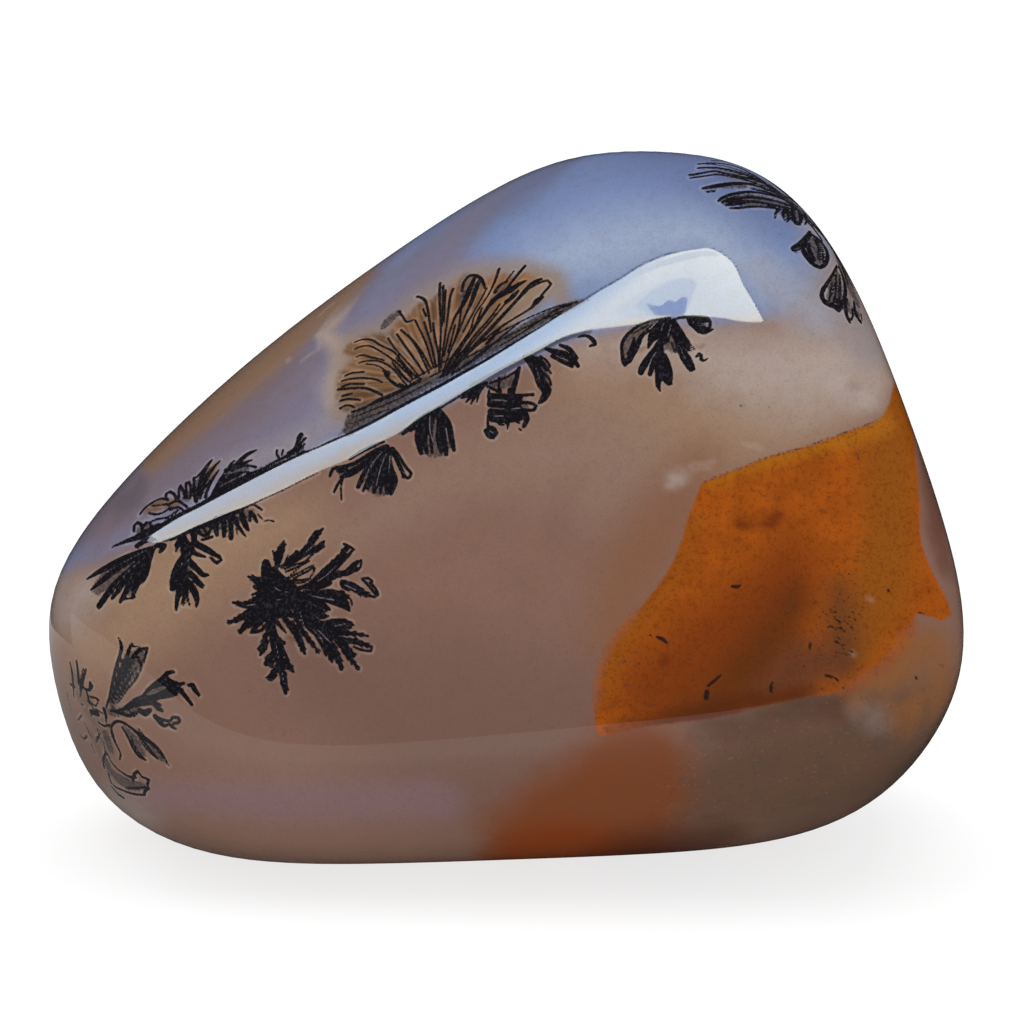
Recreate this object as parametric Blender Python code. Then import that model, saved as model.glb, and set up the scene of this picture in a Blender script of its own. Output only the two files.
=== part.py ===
"""A polished dendritic agate, a natural stone in one piece, standing on a small flat spot.

Metres, +Z up. The broad front of the stone faces -Y, its blunt left end points to -X and its
tall right end to +X. The origin is the middle of the bounding box at the level of the flat spot.
"""

import math

import bmesh
import bpy
from mathutils import Vector

MM = 0.001

# The stone is a pebble with fifteen worn faces. Each face is the plane that it would have been
# ground to, given by its direction from the middle of the stone and its distance from there:
#   turn      degrees round the front view, from +X (0) over the top (90) to the left end (180)
#   lean      degrees that the face looks forward, towards -Y, or backward where it is negative
#   distance  millimetres from the middle of the stone
WORN_FACES = {
    "front": (105, 75, 10.3),
    "front_foot": (275, 38, 16.4),
    "upper_left_slope": (119, 24, 13.7),
    "upper_left_edge": (133, -6, 16.6),
    "right_shoulder": (59, -31, 16.4),
    "right_end": (20, 1, 18.7),
    "right_foot": (324, 13, 22.1),
    "base": (270, 0, 16.8),
    "left_end": (206, 27, 23.2),
    "left_back": (153, -18, 19.1),
    "back": (100, -76, 11.0),
    "back_slope": (124, -38, 14.5),
    "back_right": (15, -40, 19.0),
    "back_left": (185, -40, 22.0),
    "back_foot": (270, -40, 16.0),
}

# How crisp the tumbling left the edges between the faces: 2 is a round pebble, 30 a cut block
CRISPNESS = 8.5

# Depth of the flat spot that the stone stands on, worn off the lowest point of its base
FLAT_DEPTH = 0.4 * MM

# Cells along each side of the cube that the surface is spread from
CELLS = 24

# Edges shorter than this are closed after the flat spot is cut
WELD_DISTANCE = 0.05 * MM

STONE_COLOR = (0.25, 0.14, 0.09, 1.0)
STONE_ROUGHNESS = 0.06


def worn_planes():
    """The outward direction and the distance, in metres, of each worn face."""
    planes = []
    for turn, lean, distance in WORN_FACES.values():
        turn = math.radians(turn)
        lean = math.radians(lean)
        direction = Vector((math.cos(turn) * math.cos(lean), -math.sin(lean), math.sin(turn) * math.cos(lean)))
        planes.append((direction, distance * MM))
    return planes


def surface_point(direction, planes):
    """Where a ray from the middle of the stone meets its surface, a soft meeting of the planes."""
    reach = sum(max(0.0, direction.dot(normal) / distance) ** CRISPNESS for normal, distance in planes)
    return direction * reach ** (-1.0 / CRISPNESS)


def spread_evenly(corner):
    """Turns a point of the cube into a direction, with cells of like size all round."""
    return Vector([math.tan(axis * math.pi / 4) for axis in corner]).normalized()


def stone_mesh():
    """The closed surface of the stone, with its flat spot at z = 0 and its box centred on x and y."""
    mesh = bpy.data.meshes.new("agate")
    shape = bmesh.new()
    bmesh.ops.create_cube(shape, size=2.0)
    bmesh.ops.subdivide_edges(shape, edges=shape.edges[:], cuts=CELLS - 1, use_grid_fill=True)

    planes = worn_planes()
    for vertex in shape.verts:
        vertex.co = surface_point(spread_evenly(vertex.co), planes)

    cut_flat_spot(shape)
    centre_on_origin(shape)
    bmesh.ops.recalc_face_normals(shape, faces=shape.faces[:])
    shape.to_mesh(mesh)
    shape.free()
    mesh.shade_smooth()
    mesh.set_sharp_from_angle(angle=math.radians(20))
    return mesh


def cut_flat_spot(shape):
    """Cuts the lowest point of the base away and closes the cut with one flat face."""
    level = min(vertex.co.z for vertex in shape.verts) + FLAT_DEPTH
    cut = bmesh.ops.bisect_plane(
        shape,
        geom=shape.verts[:] + shape.edges[:] + shape.faces[:],
        plane_co=(0.0, 0.0, level),
        plane_no=(0.0, 0.0, -1.0),
        clear_outer=True,
    )
    rim = [item for item in cut["geom_cut"] if isinstance(item, bmesh.types.BMEdge)]
    bmesh.ops.edgeloop_fill(shape, edges=rim)
    bmesh.ops.remove_doubles(shape, verts=shape.verts[:], dist=WELD_DISTANCE)


def centre_on_origin(shape):
    """Moves the stone so that its box is centred on x and y and stands on z = 0."""
    low = Vector([min(vertex.co[axis] for vertex in shape.verts) for axis in range(3)])
    high = Vector([max(vertex.co[axis] for vertex in shape.verts) for axis in range(3)])
    middle = (low + high) / 2
    bmesh.ops.translate(shape, verts=shape.verts[:], vec=(-middle.x, -middle.y, -low.z))


def stone_material():
    """Glossy stone in the mean colour of the agate."""
    material = bpy.data.materials.new("polished_agate")
    material.use_nodes = True
    shader = material.node_tree.nodes["Principled BSDF"]
    shader.inputs["Base Color"].default_value = STONE_COLOR
    shader.inputs["Roughness"].default_value = STONE_ROUGHNESS
    shader.inputs["Metallic"].default_value = 0.0
    return material


for leftover in list(bpy.data.objects):
    bpy.data.objects.remove(leftover, do_unlink=True)

specimen = bpy.data.collections.new("dendritic_agate")
bpy.context.scene.collection.children.link(specimen)

agate = bpy.data.objects.new("agate", stone_mesh())
agate.data.materials.append(stone_material())
specimen.objects.link(agate)
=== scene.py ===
import math
import random

import bpy
import numpy as np
from mathutils import Matrix, Vector


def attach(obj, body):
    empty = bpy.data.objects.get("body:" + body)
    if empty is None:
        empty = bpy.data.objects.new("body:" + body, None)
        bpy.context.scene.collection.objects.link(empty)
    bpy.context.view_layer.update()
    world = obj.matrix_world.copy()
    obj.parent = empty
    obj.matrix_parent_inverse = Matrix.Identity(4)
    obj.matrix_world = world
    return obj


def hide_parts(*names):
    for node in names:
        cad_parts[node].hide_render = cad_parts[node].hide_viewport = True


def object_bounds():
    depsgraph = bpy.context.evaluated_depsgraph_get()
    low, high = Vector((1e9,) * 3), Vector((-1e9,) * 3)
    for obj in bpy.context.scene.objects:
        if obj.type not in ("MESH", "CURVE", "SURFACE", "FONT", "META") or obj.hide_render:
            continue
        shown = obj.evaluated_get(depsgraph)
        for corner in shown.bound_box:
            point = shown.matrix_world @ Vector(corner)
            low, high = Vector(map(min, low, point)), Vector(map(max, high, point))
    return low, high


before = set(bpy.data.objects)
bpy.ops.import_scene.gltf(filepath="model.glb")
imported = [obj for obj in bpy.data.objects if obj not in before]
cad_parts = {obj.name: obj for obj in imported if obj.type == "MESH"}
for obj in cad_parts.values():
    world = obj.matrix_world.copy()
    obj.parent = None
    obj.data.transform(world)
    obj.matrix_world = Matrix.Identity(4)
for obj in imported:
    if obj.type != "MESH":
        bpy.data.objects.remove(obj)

cad_low, cad_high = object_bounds()

# The view. The photograph looks a little down on the broad face of the stone through a long
# lens. All lengths in this file are millimetres until they reach Blender, which is in metres,
# and pixels are pixels of the photograph's frame.
MM = 0.001
IMAGE_PIXELS = 1024
STONE_WIDTH = 44.0
STONE_PIXELS = 914
PIXEL = STONE_WIDTH / STONE_PIXELS
CAMERA_RISE = math.radians(12)
CAMERA_DISTANCE = 165.0
CAMERA_AIM = np.array((0.3, -0.8, 16.6))
SENSOR_WIDTH = 36.0

to_camera = np.array((0.0, -math.cos(CAMERA_RISE), math.sin(CAMERA_RISE)))
image_right = np.array((1.0, 0.0, 0.0))
image_up = np.array((0.0, math.sin(CAMERA_RISE), math.cos(CAMERA_RISE)))
camera_eye = CAMERA_AIM + to_camera * CAMERA_DISTANCE

camera = bpy.data.objects.new("camera", bpy.data.cameras.new("camera"))
bpy.context.scene.collection.objects.link(camera)
bpy.context.scene.camera = camera
camera.location = camera_eye * MM
camera.rotation_euler = (math.pi / 2 - CAMERA_RISE, 0.0, 0.0)
camera.data.sensor_width = SENSOR_WIDTH
camera.data.lens = SENSOR_WIDTH * CAMERA_DISTANCE / (IMAGE_PIXELS * PIXEL)
camera.data.clip_start = 0.01
camera.data.clip_end = 10.0

# The stone. One pebble of chalcedony, tumbled and polished until fifteen worn faces were left
# on it, with soft edges between them. It stands on a small flat spot. Each face is given by its
# turn round the front view, its lean towards the viewer, and its distance from the middle.
WORN_FACES = {
    "front": (105, 75, 10.3),
    "front_foot": (275, 38, 16.4),
    "upper_left_slope": (119, 24, 13.7),
    "upper_left_edge": (133, -6, 16.6),
    "right_shoulder": (59, -31, 16.4),
    "right_end": (20, 1, 18.7),
    "right_foot": (324, 13, 22.1),
    "base": (270, 0, 16.8),
    "left_end": (206, 27, 23.2),
    "left_back": (153, -18, 19.1),
    "back": (100, -76, 11.0),
    "back_slope": (124, -38, 14.5),
    "back_right": (15, -40, 19.0),
    "back_left": (185, -40, 22.0),
    "back_foot": (270, -40, 16.0),
}
CRISPNESS = 8.5
FLAT_DEPTH = 0.4
CELLS = 46

turns, leans, face_distances = np.array(list(WORN_FACES.values())).T
turns, leans = np.radians(turns), np.radians(leans)
face_normals = np.column_stack(
    [np.cos(turns) * np.cos(leans), -np.sin(leans), np.sin(turns) * np.cos(leans)])


def reach(points):
    """How far out each point lies: 1 on the surface of the stone, less than 1 inside it."""
    parts = np.maximum(points @ face_normals.T, 0.0) / face_distances
    return (parts ** CRISPNESS).sum(axis=1) ** (1 / CRISPNESS)


def on_surface(points):
    """The points of the surface that lie straight out from the middle through these points."""
    return points / reach(points)[:, None]


def coordinates(mesh):
    """The places of a mesh's vertices, as an array."""
    flat = np.empty(len(mesh.vertices) * 3, np.float32)
    mesh.vertices.foreach_get("co", flat)
    return flat.reshape(-1, 3).astype(float)


bpy.ops.object.select_all(action="DESELECT")
bpy.ops.mesh.primitive_cube_add(size=2.0)
stone = bpy.context.object
stone.name = stone.data.name = "agate_stone"
bpy.ops.object.mode_set(mode="EDIT")
bpy.ops.mesh.select_all(action="SELECT")
bpy.ops.mesh.subdivide(number_cuts=CELLS - 1)
bpy.ops.object.mode_set(mode="OBJECT")

surface = on_surface(np.tan(coordinates(stone.data) * math.pi / 4))
own_low, own_high = surface.min(axis=0), surface.max(axis=0)
own_low[2] += FLAT_DEPTH
frame_low, frame_high = np.array(cad_low) / MM, np.array(cad_high) / MM
stretch = (frame_high - frame_low) / (own_high - own_low)


def seated(points):
    """Moves points of the stone's own frame to where the stone stands."""
    return frame_low + (points - own_low) * stretch


def unseated(points):
    """Moves points of the scene to the stone's own frame, with its middle at 0."""
    return own_low + (points - frame_low) / stretch


def outward(points):
    """The exact outward directions of the polished surface at points of the scene."""
    own = unseated(points)
    parts = np.maximum(own @ face_normals.T, 0.0) / face_distances
    slope = (parts ** (CRISPNESS - 1) / face_distances) @ face_normals / stretch
    return slope / np.linalg.norm(slope, axis=1)[:, None]


def cast(mesh):
    """Puts every vertex of a mesh on the exact surface of the stone."""
    places = seated(on_surface(unseated(coordinates(mesh) / MM)))
    mesh.vertices.foreach_set("co", (places * MM).astype(np.float32).ravel())


stone.data.vertices.foreach_set("co", (seated(surface) * MM).astype(np.float32).ravel())

# The dendrites. They are ferns of manganese oxide that grew inside the stone along fine cracks,
# so they are drawn and not raised. A stroke is a list of (x, y, half-width) in pixels of a view;
# it is smoothed, laid on the stone under that view, and kept with its radius in millimetres.
STROKE_STEP = 3.5
LIMB_SPREAD = 0.35
INK_BLEED = 0.3
EDGE_ON = 0.1
LEAST_INK = 0.55
NEAREST, FARTHEST = 0.7, 1.3
SEARCH_STEPS, HALVINGS = 40, 30
BARB_STEP = 2
BARB_SPREAD = 0.75
BARB_FOOT, BARB_START = 0.6, 0.8
BARB_LENGTHS = (0.4, 1.0)
BARB_WIDTHS = (1.3, 0.7)
THINNEST = 0.3
marks = {"ink": [], "smoke": [], "rust": [], "glint": [], "haze": [], "streak_rim_shade": [], "frost": [], "pit": []}
chance = random.Random(7)


def under(pixels, turn=0.0):
    """The points of the stone under pixels of the front view, or of that view from another turn."""
    turned = Matrix.Rotation(math.radians(turn), 3, "Z")
    eye = np.array(turned @ Vector(camera_eye))
    right, up, back = (np.array(turned @ Vector(axis)) for axis in (image_right, image_up, to_camera))
    across = (pixels[:, 0] - IMAGE_PIXELS / 2) * PIXEL
    rise = (IMAGE_PIXELS / 2 - pixels[:, 1]) * PIXEL
    rays = across[:, None] * right + rise[:, None] * up - back * CAMERA_DISTANCE

    def reach_at(shares):
        return reach(unseated(eye + rays * shares[:, None]))

    near, far = np.full(len(pixels), NEAREST), np.full(len(pixels), FARTHEST)
    for _ in range(SEARCH_STEPS):
        first, second = near + (far - near) / 3, far - (far - near) / 3
        rising = reach_at(first) < reach_at(second)
        far = np.where(rising, second, far)
        near = np.where(rising, near, first)
    outside, inside = np.full(len(pixels), NEAREST), (near + far) / 2
    for _ in range(HALVINGS):
        middle = (outside + inside) / 2
        out = reach_at(middle) > 1
        outside = np.where(out, middle, outside)
        inside = np.where(out, inside, middle)
    points = seated(on_surface(unseated(eye + rays * inside[:, None])))
    facing = np.clip(outward(points) @ back, EDGE_ON, 1.0)
    return points, facing


def smoothed(stroke):
    """Points every few pixels along a smooth curve through the points of a stroke."""
    knots = np.array(stroke, float)
    if len(knots) < 3:
        middle = knots.mean(axis=0)
        knots = np.array([knots[0], middle, knots[-1]])
    knots = np.vstack([2 * knots[0] - knots[1], knots, 2 * knots[-1] - knots[-2]])
    curve = []
    for a, b, c, d in zip(knots, knots[1:], knots[2:], knots[3:]):
        steps = max(1, round(float(np.hypot(*(c - b)[:2])) / STROKE_STEP))
        for t in np.arange(steps) / steps:
            curve.append(0.5 * (2 * b + (c - a) * t + (2 * a - 5 * b + 4 * c - d) * t ** 2
                                + (3 * b - a - 3 * c + d) * t ** 3))
    curve.append(knots[-2])
    curve = np.array(curve)
    curve[:, 2] = np.maximum(curve[:, 2], THINNEST)
    return curve


def draw(tone, strokes, turn=0.0):
    """Adds strokes of one tone to the stone, as seen in the front view or from another turn."""
    curves = [smoothed(stroke) for stroke in strokes]
    together = np.vstack(curves)
    points, facing = under(together[:, :2], turn)
    widths = np.maximum(together[:, 2] - INK_BLEED, together[:, 2] * LEAST_INK)
    radii = widths * PIXEL * facing ** -LIMB_SPREAD
    ends = np.cumsum([len(curve) for curve in curves])[:-1]
    marks[tone] += np.split(np.column_stack([points, radii]), ends)


def line(half_width, *points):
    """A stroke of one width."""
    return [(x, y, half_width) for x, y in points]


def bundle(root, leaves):
    """Strokes that all grow from one root."""
    return [[(*root, 1.5), *leaf] for leaf in leaves]


def barbed(length, strokes):
    """Strokes with short barbs along both sides, which lean towards the tip as on a feather."""
    barbs = []
    for stroke in strokes:
        curve = smoothed(stroke)
        for here, ahead in zip(curve[::BARB_STEP], curve[1::BARB_STEP]):
            along = (ahead - here)[:2] / max(np.hypot(*(ahead - here)[:2]), 1e-6)
            for across in (np.array((along[1], -along[0])), np.array((-along[1], along[0]))):
                foot = here[:2] + across * here[2] * BARB_FOOT
                grown = here[2] * BARB_START + length * chance.uniform(*BARB_LENGTHS)
                tip = here[:2] + (across * BARB_SPREAD + along) * grown
                barbs.append([(*foot, BARB_WIDTHS[0]), (*tip, BARB_WIDTHS[1])])
    return strokes + barbs


# Black fern. The blackest dendrite, close under the middle of the front: a solid heart with
# a bud on top, feathered fronds to the right, one long frond down and short ones to the left.
draw("ink", [
    [(271, 580, 10), (277, 594, 14), (286, 602, 11)],
    [(275, 605, 12), (271, 614, 8)],
    [(270, 588, 7), (267, 572, 6), (266, 563, 4)],
    line(0.9, (286, 580), (294, 572), (302, 565), (305, 561)),
    line(0.9, (290, 578), (300, 572), (309, 567), (314, 565)),
    line(1.0, (288, 582), (300, 583), (308, 580), (313, 573), (315, 568)),
    line(1.3, (343, 574.5), (352, 570), (357, 564), (361, 560), (360.5, 567), (356, 571)),
    line(1.4, (366, 594), (374, 597), (378, 595), (375, 588), (370, 583)),
    line(1.3, (362, 578.5), (367, 578), (372, 581), (371, 586)),
    line(1.3, (344, 544), (349, 546), (354, 549.5)),
    line(1.2, (351, 600), (352, 605)),
    line(1.3, (372, 647), (371, 651), (362, 650), (354, 647)),
    line(0.9, (250, 632), (258, 630)),
    [(310, 591, 1.2), (318, 599, 2.4), (329, 609, 1.6)],
    [(274, 568, 2), (282, 577, 2.4), (289, 583, 3.2), (295, 591, 5), (300, 598, 4), (308, 605, 3),
     (316, 609, 2.4), (324, 612, 1.4)],
    line(1.1, (284, 569), (294, 565), (304, 562), (310, 557), (313, 554)),
    line(1.1, (286, 572), (296, 567.5), (304, 564), (309, 561)),
    line(1.1, (294, 578.5), (302, 574), (308.5, 571), (313.5, 567)),
    line(1.3, (292, 580.5), (302, 580), (308, 579)),
    [(330, 574, 1.6), (337, 567, 2.2), (343, 560.5, 2.2), (349, 554.5, 2), (352, 551, 1.4)],
    [(346, 571, 1.6), (352, 566, 2.2), (357, 562, 2), (361, 561, 1)],
    [(335, 573.5, 1.6), (346, 574.5, 1.8), (353, 571, 1.8), (357, 568, 1.2)],
    [(316, 589, 1.6), (323, 586, 2.4), (330, 583, 2.4)],
    [(341, 582, 1.6), (343, 587, 2), (349, 590, 1.6)],
    line(1.5, (363, 580), (369, 586), (373, 591), (377, 595)),
    line(1.0, (362, 579), (368, 577.5)),
    [(318, 598, 2), (330, 601, 2.8), (341, 605, 2.8), (350, 611, 1)],
    [(314, 613, 2), (322, 617, 2.4), (328, 616, 1.2)],
    [(328, 627, 2.6), (340, 627.5, 2.6), (350, 628, 1.2)],
    [(288, 614, 3), (296, 616, 3)],
    [(276, 620, 2), (281, 627, 1.8), (286, 633, 1)],
    [(292, 622, 2), (298, 633, 2), (304, 645, 1.2)],
    [(302, 622, 1.5), (310, 630, 1.6), (318, 637, 1.4)],
    [(316, 636, 1.6), (322, 645, 2), (326, 655, 1.6)],
    [(266, 640, 2), (265, 648, 2.6), (260, 655, 1.2)],
    [(272, 662, 2.4), (271, 667, 1.6)],
    [(281, 644, 1.6), (285, 654, 1.8), (289, 661, 1.4)],
    [(286, 673, 1.2), (287, 690, 1.2)],
    [(276, 675, 1.6), (272, 680, 1.4)],
    [(240, 606, 1.2), (248, 607, 2)],
    [(266, 624, 1.6), (262, 630, 1.8), (256, 632, 1.4), (250, 633, 1)],
    [(254, 582, 1.2), (259, 586, 1.4)],
    [(252, 595, 1.2), (258, 592, 1.4)],
    [(284, 564, 1.2), (290, 558, 1.4), (297, 551, 1.2)],
    line(0.9, (285, 562), (288, 555)),
    [(309, 541, 1.4), (315, 532, 1.4), (317, 530, 1)],
])
draw("ink", barbed(2.6, [
    [(277, 566, 2.4), (279, 556, 4.2), (282, 547, 3), (284, 541, 1.2)],
    [(276, 560, 2), (273, 551, 1.2)],
    [(281, 567, 1.2), (291, 562, 2.6), (300, 556, 3.6), (307, 549, 4), (312, 542, 3.2), (318, 534, 2.4),
     (323, 528.5, 1.2)],
    [(307, 552, 3), (316, 549, 3.6), (322, 545, 2.6), (324, 541, 1.2)],
    [(296, 558, 2.4), (296, 551, 1.2)],
    [(300, 588, 1.6), (312, 584.5, 4), (324, 574, 4.6), (334, 563, 3.2), (342, 555, 2.6), (347, 547, 2.2)],
    [(312, 588, 2.6), (325, 581, 3.6), (336, 575, 3.2), (346, 573, 2.6)],
    [(341.5, 582, 2), (350, 585, 3.6), (358, 590, 4), (368, 595.5, 2)],
    [(304, 592, 1.4), (318, 593.5, 3), (332, 593.5, 4.4), (342, 599, 4), (349, 608, 1.4)],
    [(340, 592, 2), (351, 599.5, 1)],
    [(300, 594, 2), (312, 600, 3.4), (322, 606, 2.6), (330, 610, 1)],
    [(300, 608, 2.6), (314, 612, 2), (326, 615, 1)],
    [(296, 606, 6), (308, 618, 6), (319, 627, 6), (329, 636, 6)],
    [(322, 625, 3.6), (335, 622, 3.4), (345, 622, 3), (353, 625, 1.4)],
    [(332, 632, 3.4), (345, 633, 2.6), (356, 634, 1.6), (368, 636, 1.3)],
    [(338, 640, 4), (350, 640.5, 3), (362, 643.5, 2.2), (372, 647, 1.3)],
    [(341, 644, 4), (349, 651, 3.2), (353.5, 656, 2)],
    [(344, 650, 2.8), (352, 661, 2), (359, 669.5, 1.2)],
    [(332, 646, 3.6), (338, 658, 3), (342, 669.5, 1.4)],
    [(325, 637, 3.6), (329, 650, 2.8), (332, 662, 1.4)],
    [(281, 612, 2.6), (288, 624, 2.2), (296, 635, 2.4), (302, 647, 2.2), (305, 654, 1.3)],
    [(296, 618, 2), (303, 632, 2.2), (312, 643, 1.8), (319, 653, 1.2)],
    [(268, 612, 5), (272, 628, 3.8), (275, 642, 5), (278, 655, 5), (281, 668, 3.2), (284, 682, 3.4),
     (285.5, 693, 2)],
    [(276, 652, 3.6), (268, 659, 2.8), (266, 665, 1.4)],
    [(280, 664, 2.6), (273, 673, 2.8), (269, 679, 2)],
    [(281, 660, 2.8), (288, 665, 3.2), (293, 671.5, 1.8)],
    [(276, 640, 3.6), (284, 643, 2)],
    [(269, 628, 2), (264, 640, 2), (259, 650.5, 1.3)],
    [(266, 596, 7), (255, 602, 4.4), (244, 604, 2.4), (233, 602.5, 1.3)],
    [(262, 606, 6), (249, 613, 4.2), (238, 619, 2.4), (227.5, 623, 1.3)],
    [(264, 611, 5), (252, 620, 4), (244, 627, 2.8), (239, 633, 1.4)],
    [(266, 615, 4), (258, 624, 2.8), (252, 631, 1.8)],
    [(268, 583, 4.4), (258, 580, 2.8), (248, 576.5, 1.3)],
    [(264, 590, 4), (255, 587, 2.4)],
]))
draw("rust", [
    [(283, 622, 3), (292, 640, 2)],
])
draw("glint", [
    line(0.6, (300, 612), (305, 630)),
    line(0.6, (268, 597), (267, 603), (268, 610)),
    line(0.6, (277, 600), (284, 600)),
    line(0.6, (275, 588), (281, 591), (287, 592)),
    line(0.6, (288, 605), (293, 612)),
    line(0.6, (312, 596), (322, 598), (334, 600)),
    line(0.6, (318, 630), (330, 642)),
    line(0.6, (276, 644), (279, 660)),
    line(0.6, (306, 552), (313, 546), (318, 540)),
    line(0.6, (318, 581), (328, 574), (336, 566)),
    line(0.6, (345, 585), (356, 590)),
    line(0.6, (335, 626), (345, 624)),
    line(0.6, (340, 636), (354, 638)),
    line(0.6, (282, 672), (284, 684)),
    line(0.6, (246, 606), (256, 604)),
])

# Grey fern. It lies deeper in the blunt left end, so it is greyer, with hollow leaves that are
# drawn by their edges, curls at its tips and faint scribbles to the left of it.
draw("ink", [
    [(106, 708, 1.2), (110, 695, 1.6), (113, 680, 1.9), (116, 668, 1.9), (120, 655, 2.1), (121.5, 646, 2),
     (118.5, 637.5, 1)],
    [(111, 702, 1.2), (117, 685, 1.8), (122, 670, 2.2), (126, 660, 2.2), (129, 650, 2), (132, 643, 1.3)],
    [(147, 648, 1.6), (145, 657, 1.4), (141, 668, 1.4), (135, 680, 1.4), (127, 690, 1.2), (118, 703, 1)],
    [(147, 648, 1.6), (140, 650, 1.8), (134, 656, 2.2), (130, 662, 2.2), (124, 672, 2.6), (118, 682, 2)],
    [(131, 672, 1.3), (126, 682, 1.5), (120, 694, 1.2)],
    [(126, 707, 1.8), (133, 702, 2.4), (141, 698, 2.6), (152, 697, 2.2), (163, 694, 3.6), (174, 690, 4.4),
     (182, 690, 2)],
    [(141, 698, 1.3), (148, 690, 1.8), (155, 684, 2.4), (162, 679, 2.4), (167, 673, 2.2), (174, 672, 1.6)],
    [(160, 681, 3), (167, 684, 3), (172, 688, 2)],
    [(170, 684, 2), (177, 685, 2.4), (184, 683, 1.5)],
    [(180, 690, 2.4), (186, 697, 2.2), (192, 705, 1.6)],
    [(188, 685, 1.6), (192, 685, 2.6), (195, 690, 2.4), (199, 695, 1.8)],
    [(127, 708, 2.4), (136, 704, 3), (147, 702, 3.6), (153, 703, 2)],
    [(154, 704, 2), (158, 708, 2.8), (163, 711, 1.2)],
    [(139, 710, 2), (145, 713, 3.6), (150, 710, 2.4)],
    [(130, 711, 1.3), (134, 716, 1.5), (138, 711, 1.3)],
    [(112, 710, 1.2), (118, 711, 1.5), (126, 708, 1.8)],
    [(155, 716, 2.4), (159, 721, 2.4), (164, 726, 1.8), (169, 724, 1.5), (172, 727, 1.6), (176, 729, 1.2)],
    line(1.6, (170, 721), (173, 717), (178, 717.5), (180, 720.5), (178, 723), (173, 723.5)),
    [(112, 737, 0.8), (111, 728, 1.3), (115, 722, 1.6), (122, 722, 1.6), (130, 727, 1.5), (140, 735, 2.2),
     (150, 742, 2.2), (158, 749, 2), (164, 757, 1.3), (169, 766, 0.8)],
    [(122, 727, 1.3), (128, 737, 1.6), (133, 748, 1.8), (139, 756, 2), (146, 760, 1.2)],
    [(139, 737, 1.5), (145, 745, 2.4), (152, 753, 2), (158, 759, 1.2)],
    [(111, 730, 1.3), (114, 740, 1.5), (118, 748, 1.5), (121, 755, 1.3), (119.5, 760, 1)],
    [(104, 768, 1.2), (103.5, 759, 1.5), (107, 753, 1.2), (112, 763, 1.6), (120, 771, 1.7),
     (130, 777, 1.6), (136, 777, 1.4)],
    [(108, 772, 1.2), (112, 784, 1.5), (122, 790, 1.5), (134, 794, 1.5), (144, 795, 1.2)],
    line(1.5, (133, 781), (134, 774), (138, 771), (142, 777), (149, 779.5), (147, 785), (149, 788),
         (145, 791), (144, 795)),
    [(126, 788, 1), (137, 788, 1.3), (146, 787, 1)],
    [(112, 787, 1.6), (118, 794, 2.2), (124, 798, 1.4)],
    [(70, 662, 1.2), (72, 672, 1.8), (73, 683, 1.6), (74, 698, 1)],
    [(76.5, 661, 1.6), (78, 672, 1.9), (78.5, 684, 1.5)],
    [(86, 669, 1.2), (84, 677, 1.6), (82, 686, 1.4), (80, 697, 1)],
    [(90, 682, 1), (92.5, 686, 1.5), (90, 690, 1.4), (86, 690, 1)],
    line(1.4, (70, 684), (75, 687)),
    line(0.9, (67, 692), (69, 702), (71.5, 711)),
    line(1.2, (90, 697), (95, 697.5), (99, 700)),
    line(1.0, (90, 702), (96, 706), (98, 702)),
    line(1.0, (91, 716), (92, 710), (97, 710), (102, 713)),
    line(1.0, (84, 722), (87, 728), (89, 733)),
    line(1.2, (98, 722), (104, 726), (110, 725)),
    line(1.0, (78, 720), (82, 715)),
    line(1.2, (80, 735), (84, 739), (87, 736)),
    line(1.2, (91, 744), (93, 749), (95, 753)),
    line(0.9, (100, 738), (104, 744), (105, 752)),
    line(0.8, (86, 700), (92, 706), (97, 716)),
    line(0.8, (97, 728), (101, 733), (96, 738)),
    line(0.9, (113, 708), (116, 696), (122, 682), (131, 667), (138, 656)),
    line(0.9, (117, 700), (126, 686), (134, 672), (142, 656)),
    line(0.9, (122, 660), (119, 670), (117, 680)),
    line(1.0, (131, 645), (136, 647), (141, 647)),
    [(104, 709, 2.2), (106, 716, 2), (106, 722, 1)],
    [(91, 712, 2.6), (98, 714, 2.4)],
    line(1.2, (70, 663), (72, 670), (73, 678)),
    line(1.2, (83, 669), (81, 680), (80, 690)),
    line(1.4, (90, 682), (89, 690), (84, 688), (80, 682)),
    [(86, 690, 1.2), (88, 697, 1.8), (90, 704, 1.2)],
    line(1.0, (97, 730), (99, 736), (96, 742)),
    [(110, 711, 1), (120, 713, 1.6), (130, 716, 1.8), (134, 712, 1)],
    [(150, 688, 2), (158, 686, 1.8), (163, 685, 1)],
    [(153, 700, 2), (160, 697, 2.4), (170, 696, 2), (177, 694, 1.6)],
    [(155, 703, 2), (161, 705, 1.2)],
    [(163, 679, 1.2), (167, 677, 1.6), (170, 681, 2), (176, 682, 1.2)],
    [(157, 717, 1.6), (163, 720, 1.6), (170, 721, 1.4)],
    [(112, 730, 1), (116, 743, 1.1), (120, 752, 1.2), (120.5, 759, 0.9)],
    line(0.9, (138, 728), (146, 738), (156, 748), (163, 758)),
    line(1.0, (131, 736), (136, 748), (143, 757)),
    line(0.8, (67.5, 693), (68.5, 700)),
    line(0.8, (81, 704), (84, 705)),
    line(0.9, (88, 732), (93, 738)),
])
draw("smoke", [
    [(112, 704, 4), (122, 682, 8), (132, 664, 9), (140, 653, 6)],
    [(124, 726, 2), (133, 740, 6), (142, 753, 4)],
    [(138, 734, 2), (148, 745, 6), (158, 755, 4), (166, 763, 1)],
    [(106, 758, 3), (110, 770, 6), (120, 780, 8), (133, 785, 6), (144, 785, 3)],
    [(150, 692, 5), (164, 688, 6), (176, 688, 4)],
    [(110, 712, 4), (122, 712, 5), (136, 708, 5)],
    [(106, 735, 5), (110, 748, 5)],
])
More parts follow.
